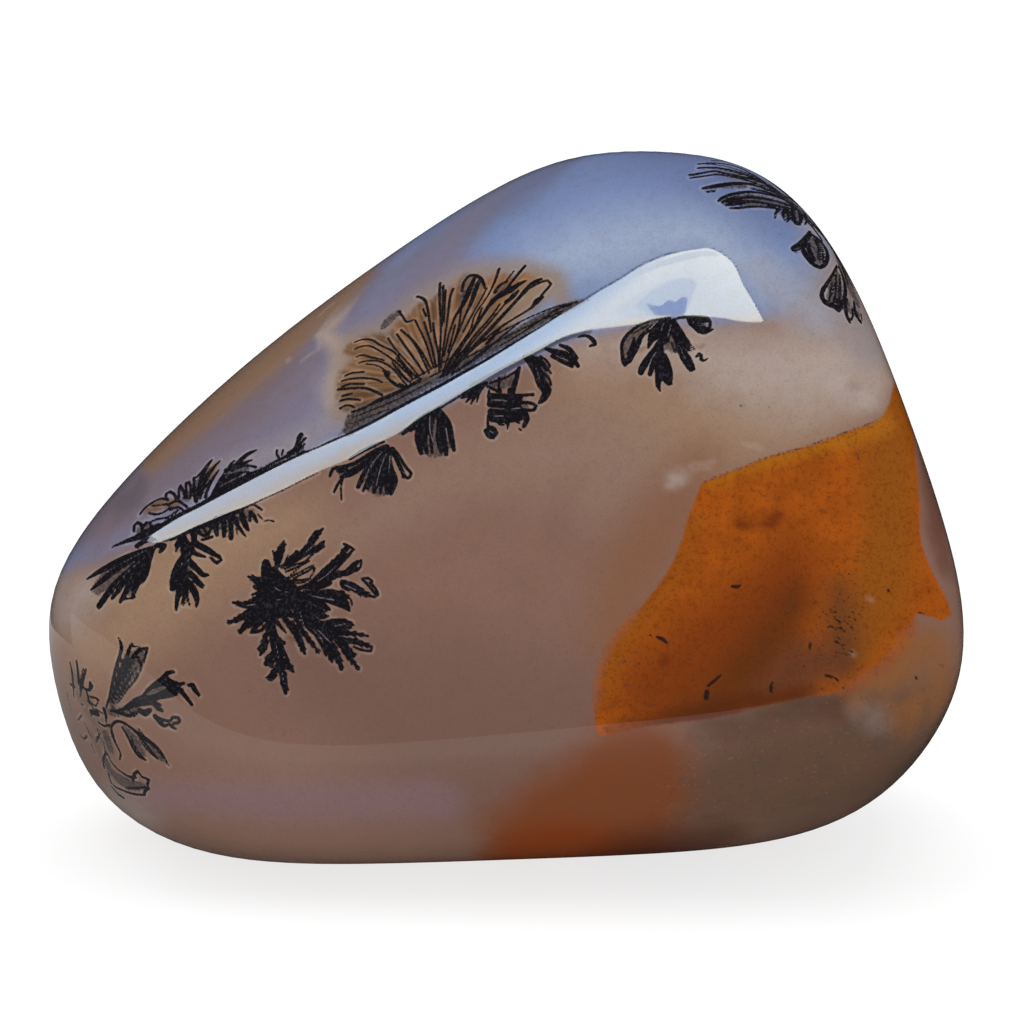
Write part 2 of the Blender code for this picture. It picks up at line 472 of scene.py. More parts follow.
draw("haze", [
    [(73, 672, 5), (78, 690, 9), (88, 706, 14), (98, 722, 14), (104, 742, 12)],
    [(72, 668, 4), (80, 692, 8), (92, 710, 9), (104, 722, 8), (108, 738, 6)],
    [(92, 734, 6), (100, 752, 6), (108, 770, 5)],
    [(112, 706, 4), (120, 686, 6), (132, 662, 6)],
])
draw("glint", [
    line(0.6, (132, 664), (138, 655)),
    line(0.6, (124, 684), (131, 672)),
    line(0.6, (150, 694), (160, 688)),
    line(0.6, (137, 735), (150, 752)),
])

# Fern at the left end of the bright streak. A bundle of long leaves that spreads down to the left,
# a hanging frond beside it, and above the streak curls, loops and three ragged feathers.
draw("ink", bundle((155, 546), [
    [(125, 558, 3.2), (102, 570, 3), (87, 579, 1.2)],
    [(122, 566, 2.8), (104, 579, 3), (91, 590, 1.3)],
    [(126, 573, 2.6), (111, 589, 3.6), (99, 606, 3.2)],
    [(132, 572, 2.4), (120, 588, 2.6), (112, 599, 1.6)],
    [(138, 571, 2.4), (127, 590, 3.0), (120, 602, 1.8)],
    [(143, 570, 2.2), (137, 585, 2.8), (132, 598, 1.6)],
    [(149, 562, 2.6), (146, 574, 2.8), (142, 584, 1.2)],
]) + [
    [(112, 547, 1.2), (124, 542, 2), (138, 537, 3.4), (148, 532, 4), (158, 526, 3)],
    [(136, 546, 2), (145, 541, 2.6), (152, 538, 1.5)],
    [(158, 545, 3), (164, 546, 3), (160, 552, 2)],
    [(163, 541, 1.3), (172, 538.5, 1.6), (182, 535, 1.8), (192, 530.5, 2)],
    line(1.7, (134, 531), (134, 526), (137, 522.5), (141, 524), (142, 530)),
    line(1.5, (143, 528), (146, 522.5), (150, 524), (152, 529)),
    line(1.4, (140, 514), (146, 507), (154, 501.5), (162, 498.5), (168, 500)),
    line(1.3, (149, 513), (156, 514.5), (164, 512), (171, 507)),
    line(1.3, (146, 524), (156, 519.5), (168, 517), (178, 510)),
    line(1.1, (152, 506), (160, 505), (168, 504)),
    line(1.6, (166, 499), (166, 494), (170, 491.5), (174, 494), (177, 500)),
    line(1.5, (168, 505), (176, 501), (182, 503), (187, 507)),
    line(1.3, (170, 510), (178, 507), (184, 511)),
    line(1.5, (179, 498), (179, 489), (180.5, 485.5), (183, 490), (185, 498)),
    line(1.5, (187, 498), (186, 488), (186, 483), (189, 482), (191, 490), (190, 498)),
    line(1.7, (195, 500), (194, 488), (194, 478)),
    [(196, 501, 2.2), (199, 488, 2.2), (202, 476, 2.4), (207, 466, 2.2), (212, 460, 1.2)],
    [(200, 498, 1.8), (204, 484, 2), (209, 474, 2.2), (215, 466, 1.7), (220, 461, 1.2)],
    [(205, 497, 1.6), (210, 484, 1.8), (216, 474, 1.5), (219, 470, 1)],
    line(1.3, (196, 492), (205, 488), (210, 481)),
    line(1.3, (197, 477), (203, 470), (209, 464)),
    line(1.2, (203, 480), (210, 470)),
    [(206, 502, 2), (215, 495, 3.2), (225, 488, 3.2), (236, 482, 2.6), (248, 476, 2)],
    [(214, 494, 3.2), (218, 486, 2.8), (222, 478, 2.4), (227, 471, 2), (231, 464, 1.6), (234, 461, 1.2)],
    [(222, 483, 2), (230, 478, 2.2), (240, 474, 1.6)],
    [(225, 470, 1.8), (231, 469, 2.4), (237, 466, 2.2), (241, 462, 1.6)],
    [(232, 470, 2.4), (238, 463, 2.6), (244, 457, 2.4), (250, 453, 2), (257, 450, 1)],
    [(238, 468, 1.6), (244, 463, 1.7), (252, 460, 1.1)],
    line(1.4, (241, 467), (248, 465.5), (256, 467)),
    line(1.3, (228, 476), (238, 473), (248, 472)),
    [(226, 486, 2), (238, 480, 1.8), (250, 474, 1.6), (262, 469, 1.3), (270, 464.5, 1.3), (278, 460, 1.3),
     (290, 455, 1.4), (297, 451, 1.4), (303, 448, 1)],
    [(277, 450, 1.2), (276.5, 454, 1.4), (279, 458, 1.5)],
    line(1.3, (283, 450), (282, 455)),
    [(288, 453, 1.6), (295, 449, 2.2), (298, 443, 2.6), (299, 438, 2.6), (301, 435, 2.8)],
    [(299, 444, 2), (303, 440, 1.9), (306, 438, 1.2)],
    [(298, 448, 1.8), (302, 446, 1.7), (305, 444, 1)],
    line(1.1, (298, 454), (304, 451), (308, 452.5)),
])
draw("ink", barbed(3.0, [
    [(182, 539, 5), (186, 548, 5.5), (186, 560, 5)],
    [(185, 556, 4), (181, 566, 6.5), (178, 577, 7.5), (172, 589, 2.5)],
]) + [
    [(184, 580, 5), (179, 592, 3.2), (177, 601, 2.4), (176, 610, 1.6)],
    [(186, 584, 3.4), (184, 596, 2.2), (183, 605, 1.4)],
    [(190, 584, 3.2), (195, 593, 3.6), (197, 601, 2.4), (196, 607, 1.2)],
    [(190, 573, 3), (197, 580, 2.6), (204, 586, 1.2)],
    [(190, 562, 3.4), (197, 569, 3), (203, 575, 2.6), (208, 575, 1.6)],
    [(176, 545, 2), (179, 541, 2.5), (176, 552, 1.2)],
    [(193, 543, 3), (202, 547, 3.4), (211, 552, 3), (217, 556, 2)],
    line(1.7, (213, 553), (219, 556), (221, 560), (217, 563), (211, 558)),
    line(1.4, (138, 547), (146, 542), (156, 539.5)),
    line(1.2, (122, 600), (130, 598), (135, 597.5)),
    [(190, 545, 2.2), (193, 552, 2.6), (199, 555, 2.2), (206, 557, 1)],
    [(187, 592, 1.6), (188, 600, 1.4), (190, 606, 1)],
    [(193, 580, 1.2), (198, 585, 1.4), (203, 588, 1)],
    [(204, 528, 1.2), (206, 534, 1.2)],
    [(202, 540, 1.6), (212, 537, 1.6)],
])
draw("smoke", [
    [(150, 552, 4), (130, 563, 8), (112, 575, 10), (98, 588, 7)],
    [(150, 556, 4), (140, 572, 7), (130, 590, 6)],
    [(140, 530, 5), (150, 528, 4)],
    [(186, 498, 4), (198, 486, 6), (208, 472, 5)],
    [(216, 492, 4), (230, 478, 7), (244, 468, 5)],
    [(250, 474, 2.5), (264, 468, 2.5), (278, 461, 2.5), (294, 452, 3)],
    [(184, 545, 5), (187, 560, 5), (186, 580, 5)],
])
draw("rust", [
    [(148, 511, 4), (157, 506, 6), (167, 503, 5), (176, 504, 4)],
    [(200, 490, 4), (207, 477, 6), (214, 467, 4)],
])
draw("glint", [
    line(0.6, (146, 550), (128, 560), (108, 571)),
    line(0.6, (146, 556), (128, 572), (112, 590)),
    line(0.6, (190, 548), (188, 562)),
    line(0.6, (182, 563), (181, 577)),
    line(0.6, (222, 474), (230, 473)),
    line(0.6, (241, 470), (250, 469)),
    line(0.6, (301, 441), (303, 437)),
])

# Dark edges of the bright streak. Broken black lines, a dark band along the upper edge and a thin
# bluish line round the bright right end are painted shade at the rim of the mirrored lamp, and a
# fringe of dendrite teeth hangs below the streak.
STREAK_TOP = [
    (147, 541), (152, 535), (162, 528), (180, 517), (200, 507), (215, 499), (240, 486), (270, 470.5),
    (300, 456), (330, 443), (360, 430), (400, 408.7), (440, 387.5), (480, 365), (520, 340.5),
    (560, 315.3), (580, 303.5), (600, 291), (620, 279.5), (640, 266.7), (660, 257.7), (680, 252),
    (700, 248.8), (710, 248.5), (722, 254), (731, 261), (737, 270), (742, 282), (750, 296), (758, 310),
    (763, 320.5),
]
STREAK_FOOT = [
    (757, 321.8), (743, 321.5), (728, 318.5), (715, 317.3), (690, 315.5), (670, 316.5), (650, 320),
    (640, 323.5), (620, 326.3), (600, 328.5), (580, 332), (560, 338.4), (540, 349.6), (520, 360),
    (500, 370.5), (480, 382.4), (460, 394), (440, 406.2), (420, 417.6), (400, 432), (384, 440),
    (370, 447), (350, 458.3), (330, 466.5), (310, 475.2), (290, 485.9), (270, 495.1), (250, 504),
    (230, 512), (210, 520.4), (190, 528.8), (175, 536.5), (165, 540.4), (156, 543),
]
# The first three strokes are painted shade along the streak's edges; the rest are dendrite teeth.
draw("ink", [
    [(151, 533, 2), (162, 525.5, 2.6), (180, 515, 2.4), (200, 505, 2.2), (215, 496.5, 2.6),
     (240, 483.7, 2.2), (270, 468.6, 1.8), (300, 454.6, 1.2), (320, 446.4, 1), (330, 441.7, 1.2),
     (345, 435.3, 1.2), (360, 428.4, 1.6), (380, 418.2, 1.8), (400, 406.8, 1.8), (420, 396.2, 1.7),
     (440, 385.7, 1.8), (460, 374.2, 1.6), (480, 363.4, 1.6), (500, 351.6, 1.4), (520, 339.2, 1.3),
     (540, 327.6, 1.1), (560, 314.1, 1)],
    [(500, 346, 0.8), (520, 334, 0.9), (540, 321, 0.8), (556, 310, 1), (570, 305, 0.9)],
    [(170, 540.5, 1.2), (190, 531, 2), (210, 523, 2.6), (230, 514.6, 2.6), (246, 507.5, 1.2),
     (262, 499.5, 0.8), (280, 491.5, 0.8), (300, 481.5, 0.8), (318, 473, 0.7)],
    [(195, 531, 3.4), (194, 540, 3), (199, 544, 1.6)],
    line(1.7, (198, 531), (203, 535.5), (209, 533), (211, 527)),
    [(216, 519, 3), (216, 528, 2.8), (217, 535, 2)],
    [(223, 517, 3), (224, 527, 2.8), (224, 536, 2.2)],
    [(230, 518, 2.6), (231, 529, 2.6), (231, 538, 2.6)],
    [(235, 519, 3.2), (238, 526, 2.2), (243, 533, 1.4), (246, 537, 0.8)],
    line(0.9, (236, 528), (237.5, 535)),
    [(241, 511, 2.2), (243, 519, 3.2), (246, 526, 2.8), (248, 530, 1.8)],
    line(1.6, (250, 512), (250, 521)),
    [(251, 511, 1.2), (254, 516, 2.2), (257, 522, 1.5)],
    line(1.2, (253.5, 504.5), (257, 506.5), (262, 510)),
    line(1.0, (258, 514.5), (262, 518.5)),
    line(1.0, (264, 521.3), (269, 520), (274, 521.5)),
])
draw("smoke", [
    [(200, 530, 5), (215, 524, 7), (230, 520, 7), (243, 515, 6), (252, 511, 3)],
    # The next three: painted shade along the streak's upper edge.
    [(348, 433, 4), (356, 420, 10), (375, 412, 9), (400, 400, 7), (420, 390, 4), (450, 374, 4),
     (480, 357, 4)],
    [(480, 357, 4), (500, 345, 5), (530, 326, 6), (560, 310, 4), (575, 303, 2)],
    [(348, 431, 3), (360, 421, 7), (385, 408, 5), (405, 398, 4)],
])
# A thin bluish line painted round the streak's bright right end: painted shade at the lamp's rim.
draw("streak_rim_shade", [
    [(x, y - 1.1, 0.6) for x, y in STREAK_TOP[15:]],
])

# Great fan. It opens over the upper slope from a root on the streak: fine black ribs that spread
# like a peacock's tail over a brown web, with a pale tan halo round its rim.
FAN_ROOT = (437, 381)
draw("ink", [
    line(1.1, (355, 342), (362, 339.5), (372, 340), (380, 345), (394, 352), (403, 363), (413, 374),
         (421, 379)),
    line(1.1, (355, 349), (361, 346.5), (370, 346), (380, 351), (392, 359), (402, 368), (412, 378)),
    line(1.0, (356, 357), (362, 355), (370, 357), (384, 360)),
    line(1.0, (359, 363), (366, 361), (378, 361), (386, 364), (394, 370), (403, 381), (408, 386)),
    line(0.9, (366, 364), (378, 366), (390, 374)),
    line(1.1, (345, 376), (352, 373), (364, 372)),
    line(1.2, (342, 381), (350, 379), (362, 378), (374, 379), (382, 382)),
    line(1.2, (342, 386.5), (350, 384), (364, 384)),
    line(1.4, (338, 389.5), (350, 388.5), (364, 388), (374, 391), (382, 395)),
    line(1.2, (342, 396), (352, 393.5)),
    line(1.2, (340, 401), (348, 399), (360, 400)),
    line(1.2, (340, 408.5), (347, 405), (354, 407)),
    line(1.2, (397, 334), (403, 343), (410, 353), (418, 364), (424, 374)),
    line(1.2, (401, 330), (409, 337), (416, 344), (424, 356), (430, 367)),
    line(1.1, (408, 335), (417, 348), (424, 362), (429, 373)),
    line(1.0, (388, 338), (396, 350), (408, 363), (418, 375)),
    line(1.1, (415, 320), (419, 328), (425, 341), (429, 353), (433, 366)),
    line(1.2, (424, 322), (428, 334), (432, 348), (436, 367)),
    line(1.2, (433, 323), (435, 338), (438, 352), (439, 368)),
    [(417, 296.5, 1.5), (424, 299, 1.5), (427, 306, 1.4), (429, 317, 1.3), (431, 332, 1)],
    line(1.2, (423, 309), (426, 316)),
    [(440, 283, 1.5), (439.5, 293, 1.5), (440, 310, 1.2), (441, 330, 1.1), (440, 352, 1.1), (439, 370, 1)],
    [(443, 286, 1.5), (443.5, 298, 1.3), (442.5, 312, 1.1), (442, 326, 1)],
    [(453, 289, 1.6), (450, 298, 1.4), (448, 315, 1.2), (446, 330, 1.1), (443, 350, 1.1), (441, 368, 1)],
    [(462, 291, 1.5), (464, 282, 1.6), (470, 275.5, 1.8), (477, 276, 1.8), (482, 280, 1.8),
     (485, 288, 1.4)],
    [(474, 279, 2), (470, 288, 2.6), (466, 298, 2.8), (461, 308, 2), (455, 317, 1.4), (449, 334, 1.1),
     (444, 356, 1)],
    [(479, 281, 2), (475, 292, 2.6), (471, 303, 2.2), (466, 314, 1.2), (458, 333, 1.1), (449, 354, 1),
     (443, 372, 1)],
    line(1.1, (461, 310), (459, 325), (455, 340)),
    line(1.1, (455, 325), (452, 338), (448, 352)),
    [(499, 269, 1.7), (496, 278, 1.5), (491, 290, 1.1), (485, 300, 1), (475, 315, 1), (470, 330, 1),
     (460, 345, 1), (450, 360, 1), (443, 374, 1)],
    [(525, 266, 1.7), (519, 273, 1.6), (511, 283, 1.5), (504, 292, 1.5), (490, 306, 1.1), (480, 320, 1.1),
     (470, 335, 1.1), (455, 355, 1), (445, 372, 1)],
    [(495, 292, 2), (500, 285, 1.7), (507, 281.5, 1.4)],
    [(495, 298, 2), (504, 293, 3.4), (512, 289, 3.2), (519, 284, 2.2), (526, 281, 1.2)],
    [(541, 279, 1.5), (533, 283, 2.2), (526, 290, 2.4), (517, 300, 1.7), (505, 312, 1.2), (494, 324, 1.1),
     (480, 339, 1.1), (460, 359, 1), (447, 373, 1)],
    [(506, 302, 2.2), (513, 297, 2), (518, 291, 1.6)],
    line(1.3, (530, 288), (540, 282.5), (548, 280.5), (551, 284), (547, 289), (541, 296)),
    [(543, 297, 1.5), (537, 301, 3), (531, 308, 1.4), (515, 318, 1.1), (500, 328, 1.5), (492, 338, 2),
     (486, 344, 1.3)],
    line(1.1, (440, 378), (450, 362), (462, 345), (474, 327), (482, 308)),
    line(1.1, (443, 377), (460, 355), (475, 335), (490, 318), (500, 304)),
    line(1.0, (447, 375), (470, 352), (490, 335), (508, 322)),
    line(1.0, (452, 374), (472, 360), (489, 345)),
    line(1.0, (456, 372), (478, 357), (500, 338), (520, 322)),
    line(1.2, (399, 311), (403, 317), (407, 322), (413, 320)),
    [(383, 371, 1), (388, 373, 2.4), (388, 377, 1.2)],
    line(1.2, (352, 412), (364, 408), (376, 401), (388, 395.5), (403, 389), (419, 380)),
    line(1.1, (376, 402), (392, 396), (406, 388), (420, 381)),
    line(1.0, (399, 384), (408, 386), (416, 382)),
    line(1.0, (446, 290), (445, 305), (444, 322)),
    line(1.0, (487, 288), (480, 301), (472, 315), (463, 332)),
    line(1.0, (493, 300), (484, 313), (474, 328), (462, 347)),
    line(1.0, (514, 271), (506, 281)),
    [(384, 374, 0.8), (390, 380, 1.6), (398, 386, 1.6), (405, 387, 1.2)],
    [(392, 362, 0.8), (398, 370, 1.6), (405, 378, 1.4), (412, 384, 1)],
    [(396, 358, 0.8), (404, 366, 1.2), (412, 376, 1)],
    line(1.0, (452, 372), (470, 345), (490, 322), (508, 300), (514, 293)),
    line(1.0, (455, 368), (476, 345), (497, 323), (517, 301)),
    line(0.9, (450, 368), (466, 340), (480, 318), (492, 299)),
    line(0.9, (410, 381), (440, 364), (480, 343), (520, 322), (552, 308), (578, 302)),
    line(0.9, (430, 377), (460, 361), (500, 340), (541, 320), (563, 311)),
    line(0.8, (352, 418), (372, 410), (400, 398), (430, 382)),
    line(0.8, (362, 409), (390, 397), (420, 382)),
    line(0.7, (350, 424), (368, 417), (390, 409)),
    line(0.9, (441, 408), (452, 401), (460, 396)),
])
draw("rust", [
    [(352, 348, 8), (372, 352, 13), (400, 366, 13), (425, 380, 6)],
    [(348, 386, 9), (372, 386, 13), (400, 388, 8)],
    [(348, 402, 8), (368, 399, 9), (388, 392, 6)],
    [(400, 328, 8), (412, 338, 15), (426, 360, 12)],
    [(424, 312, 14), (432, 334, 16), (440, 360, 12)],
    [(446, 298, 13), (449, 325, 16), (446, 358, 14)],
    [(474, 284, 11), (468, 310, 16), (458, 345, 16)],
    [(498, 284, 13), (486, 310, 16), (468, 345, 14)],
    [(522, 284, 12), (504, 308, 14), (482, 336, 12)],
    [(538, 290, 9), (520, 308, 8), (500, 328, 7)],
    [(344, 396, 2), (350, 396, 2)],
])
draw("smoke", [
    [(384, 326, 4), (390, 319, 5.5), (398, 313, 4)],
    [(462, 300, 3), (470, 290, 5), (478, 284, 4)],
    [(498, 296, 3), (510, 289, 4)],
])

# Hanging ferns. Five small ones hang from the streak's lower edge, each a tuft of dark leaves,
# and a line of dark dots and rings joins them.
draw("ink", bundle((388, 446), [
    [(372, 462, 2.6), (363, 477, 3), (358, 487, 2)],
    [(376, 464, 1.8), (368, 480, 2), (363, 491, 1.4)],
    [(379, 466, 2.2), (372, 480, 2.2), (368, 489, 1.4)],
    [(382, 466, 2.4), (377, 481, 3), (374, 492, 1.8)],
    [(385, 466, 2.0), (382, 481, 2.4), (380, 493, 1.4)],
    [(388, 468, 2.2), (387, 482, 3.2), (387, 493, 2)],
    [(391, 468, 2.6), (394, 480, 4), (391, 493, 2.4)],
]) + [
    [(384, 441.5, 1.2), (372, 446.5, 2), (360, 452.5, 2), (350, 459, 1.4)],
    [(386, 446, 2), (374, 451.5, 2.2), (362, 459, 2), (350, 465, 2), (341, 467, 1.8), (333, 469, 1.8),
     (330, 476, 1.6)],
    [(383, 449, 2), (371, 459, 2.4), (359, 468, 3.4), (349, 474, 3.4), (341, 477, 1.6)],
    [(346, 470, 2.4), (338, 471, 2)],
    [(343, 477, 1.5), (338, 484, 1.6), (334, 492, 1.3)],
    [(343, 478, 1), (341, 488, 1.1), (341.5, 500, 1)],
    line(2.2, (391, 449), (396, 458), (400, 467), (404, 475)),
    line(1.6, (393, 448), (399, 456), (405, 466), (411, 473.5), (408, 478), (403, 477)),
])
draw("ink", bundle((438, 407), [
    [(424, 422, 3.2), (418, 436, 3.6), (421, 453, 2.4)],
    [(429, 424, 2.8), (424, 438, 3.4), (427, 453, 2)],
    [(432, 424, 1.8), (431, 438, 2), (432, 453, 1.4)],
    [(439, 424, 3), (438, 438, 2.6), (441, 452, 2)],
    [(443, 424, 3), (444, 438, 3.4), (446, 454, 2.4)],
    [(448, 423, 3), (451, 437, 3), (454, 450, 2)],
]) + [
    [(430, 413, 2.6), (420, 420, 3), (411, 427, 2.6), (403, 434, 1.6)],
    line(1.4, (411, 431), (416, 428), (420, 431)),
])
draw("ink", bundle((486, 383), [
    [(474, 391, 2.2), (467, 396, 1.8), (461, 398, 1)],
    [(475, 393, 2.2), (470, 398, 1.6), (466, 402, 0.9)],
    [(478, 392, 2), (474, 398, 1.6), (471, 404, 0.9)],
    [(480, 391, 1.6), (478, 396, 1.4), (477, 402, 0.9)],
]) + [
    [(486, 383, 2), (474, 389, 2.6), (463, 394.5, 2)],
])
draw("ink", [
    line(3.2, (490, 396), (504, 397), (520, 397)),
    line(3.2, (490, 404), (505, 405), (520, 404)),
    line(3.4, (491, 412), (506, 413), (522, 412)),
    line(3.2, (492, 419), (506, 420), (520, 418)),
    line(1.4, (489, 391), (488.5, 402)),
    line(1.4, (489.5, 410), (488, 420), (488, 428)),
    line(2.0, (500, 390), (501, 400)),
    [(510, 390, 2.6), (512, 400, 5), (511, 410, 5.5), (508, 419, 4.5)],
    [(495, 415, 3), (505, 416, 4.4), (516, 414, 4.4)],
    [(505, 420, 3), (508, 424, 1.6), (507.5, 429, 0.7)],
    [(497, 420, 2.4), (500, 424, 1.6), (504, 425, 1)],
    [(516, 420, 2.6), (519, 423, 1.2)],
    [(489, 431, 3), (491.5, 433.5, 3.6)],
    line(1.0, (489, 399), (494, 398)),
    line(1.6, (487, 386), (497, 391)),
    line(1.4, (499, 378), (499, 392)),
    line(1.3, (490, 383), (505, 378), (516, 371)),
    [(519, 368, 2), (516, 380, 2.4), (512, 392, 3.4)],
    line(1.7, (518, 395.5), (526, 395), (533, 394.5)),
    line(1.7, (518, 402), (530, 403), (536, 406), (534, 410), (526, 410), (518, 408)),
    [(524, 412, 3), (527, 419, 3), (524, 426, 2.2)],
    line(1.2, (519, 429), (521, 430)),
    line(2.4, (487, 431), (490, 427.5), (494, 429), (496, 433), (493, 437), (488, 435), (486, 431)),
    [(524, 357, 2), (532, 363, 4.4), (538, 373, 5), (542, 384, 5), (547, 391, 4.4), (543, 399, 3.4),
     (539, 403, 1.4)],
    [(530, 357, 2.2), (539, 361, 3), (547, 369, 2.4)],
    line(1.3, (540, 356), (546, 360), (550, 366)),
    line(1.2, (541, 364), (547, 368), (551, 373)),
    line(1.3, (541, 372), (549, 378), (551, 385)),
    line(1.0, (545, 384), (551, 390)),
    line(1.0, (536, 357), (543, 358)),
    [(546, 349, 1.8), (556, 352, 3), (566, 355, 3.4), (574, 361, 3), (578, 366, 2)],
    [(552, 356, 2), (562, 361, 2.4), (572, 366, 2.2)],
    [(560, 345, 1.6), (569, 349, 2.4), (577, 358, 1.8)],
    [(578, 337, 1.2), (586, 335.5, 1.6), (592, 339, 2.2), (595, 344, 2), (590, 346, 1.4)],
])
draw("smoke", [
    [(384, 450, 3), (368, 460, 6), (352, 470, 6), (340, 472, 3)],
    [(388, 455, 4), (383, 470, 9), (378, 484, 12), (388, 486, 7)],
    [(436, 412, 4), (433, 428, 10), (434, 444, 13), (446, 444, 6)],
    [(492, 384, 4), (504, 382, 7), (514, 378, 5)],
    [(492, 398, 4), (508, 408, 14), (520, 408, 8)],
    [(534, 360, 5), (544, 376, 5), (546, 390, 5)],
    [(556, 352, 3), (570, 358, 4)],
])
# A bluish line painted along the streak's lower edge: painted shade at the rim of the mirrored lamp.
draw("streak_rim_shade", [
    [(400, 433.5, 1), (430, 413, 1.4), (460, 395, 1.8), (490, 377.5, 2.2), (520, 361, 2.6),
     (545, 347.5, 2.4), (565, 338.5, 2), (590, 331, 1.6)],
    [(470, 386, 1), (492, 376, 3), (515, 364, 3), (530, 358, 2)],
])
draw("glint", [
    line(0.6, (382, 452), (372, 464), (364, 480)),
    line(0.6, (386, 454), (380, 470), (376, 486)),
    line(0.6, (390, 456), (389, 472)),
    line(0.6, (403, 472), (408, 475)),
    line(0.6, (430, 416), (430, 430), (434, 444)),
    line(0.6, (436, 420), (435, 434)),
    line(0.6, (446, 428), (448, 442)),
    line(0.7, (494, 400), (505, 400.5)),
    line(0.7, (512, 409), (520, 408)),
    line(0.7, (495, 416), (503, 416)),
    line(0.7, (522, 405.5), (531, 406)),
    line(0.6, (508, 380), (505, 390)),
    line(0.6, (536, 368), (540, 380)),
    line(0.6, (556, 356), (568, 361)),
    line(0.6, (490, 431), (493, 433)),
])

# Paw fern. The small black tuft that hangs from the streak's bright right end, like a paw
# with spread toes.
draw("ink", [
    [(668, 318.5, 1.4), (655, 319.5, 1.4), (647, 322, 1.4), (638, 326, 1.5), (631, 331.5, 1.7),
     (625, 337.5, 1.9), (622, 344, 1.8), (622, 352, 1.8), (623, 360, 2.2), (625, 365, 2)],
    [(651, 330, 1.4), (644, 333.5, 2), (640, 339, 2.4), (637, 347, 2.6), (632, 355, 3), (628, 361, 3.2),
     (625, 364, 2)],
    [(634, 338, 1.2), (633, 346, 2.8), (630, 354, 3)],
    line(0.9, (648, 325), (641, 329), (634, 333)),
    line(0.9, (652, 325), (646, 330)),
    [(664, 321, 3.4), (660, 328, 6), (655, 334, 6), (651, 340, 3.4), (648.5, 348, 1.2)],
    [(668, 321, 4), (667, 330, 5.4), (664, 339, 5)],
    [(673, 322, 3.4), (676, 330, 5.4), (680, 338, 6), (684, 345, 4)],
    [(675, 325, 2), (681, 333, 2.4), (685, 338, 1.8), (689, 341.5, 1.3)],
    [(682, 339, 3), (689, 344, 1.7), (695, 349.5, 1)],
    [(683, 344, 3), (688, 348.5, 2), (691, 351, 1)],
    [(676, 342, 1.8), (679, 350, 1.8), (682, 358, 2), (687, 365, 2.4), (691, 370, 2.2)],
    [(683, 350, 1.7), (688, 357, 2.4), (691, 363, 2.4), (694, 369, 1.8)],
    line(1.3, (671, 342), (673, 347), (675, 352)),
    [(660, 342, 3), (655, 350, 3.4), (648, 359, 3.6), (643, 367, 3.8), (641, 372, 3.2)],
    [(655, 358, 1.4), (652, 366, 2.4), (650, 374, 2.4)],
    [(661, 340, 2.4), (660, 352, 3.8), (660, 362, 4.8), (660, 371, 5), (659, 378, 3.8), (658, 385, 2.6),
     (660, 391, 1)],
    [(664, 356, 3.2), (667, 366, 4.2), (669, 374, 4), (670, 380, 2.8)],
    [(662, 376, 2), (666, 381, 2.4), (669, 384, 2), (672, 384, 1)],
    [(676, 318.5, 1.4), (684, 317.2, 1.5), (692, 317, 1.8), (700, 317, 1.8), (707, 318, 1.9),
     (710, 322, 1.8), (710, 327, 1.6)],
    [(688, 318, 2), (690, 323, 2.2), (694, 326.5, 2)],
    line(1.6, (693, 320), (700, 321.5), (708, 321)),
    [(694, 327, 1.8), (699, 331, 2.4), (704, 332.5, 2.4), (709, 331, 1.6), (713, 329, 1)],
    [(695, 323, 1.8), (702, 327, 2), (708, 329, 1.6)],
    [(696, 357, 1.2), (699, 354, 1.9), (701, 355, 1.9), (701, 359, 1.9), (703, 361, 1.3),
     (708, 358.5, 0.8)],
])
draw("smoke", [
    [(656, 321, 2), (645, 327, 5), (634, 335, 7), (629, 346, 7), (626, 358, 4)],
    [(667, 322, 6), (668, 334, 12), (676, 344, 9)],
    [(660, 350, 5), (661, 366, 6)],
    [(694, 320, 3), (702, 325, 5)],
])
draw("rust", [
    line(0.9, (694, 346), (700, 348), (704, 345)),
    line(0.8, (640, 351), (645, 347)),
])
draw("glint", [
    line(0.6, (656, 352), (651, 360), (647, 371)),
    line(0.6, (664, 322), (661, 331)),
    line(0.6, (671, 325), (668, 336)),
    line(0.6, (678, 343), (682, 352), (686, 359)),
    line(0.6, (698, 326), (704, 325.5), (709, 324)),
    line(0.6, (626, 342), (627, 347)),
    line(0.6, (655, 342), (653, 345)),
])

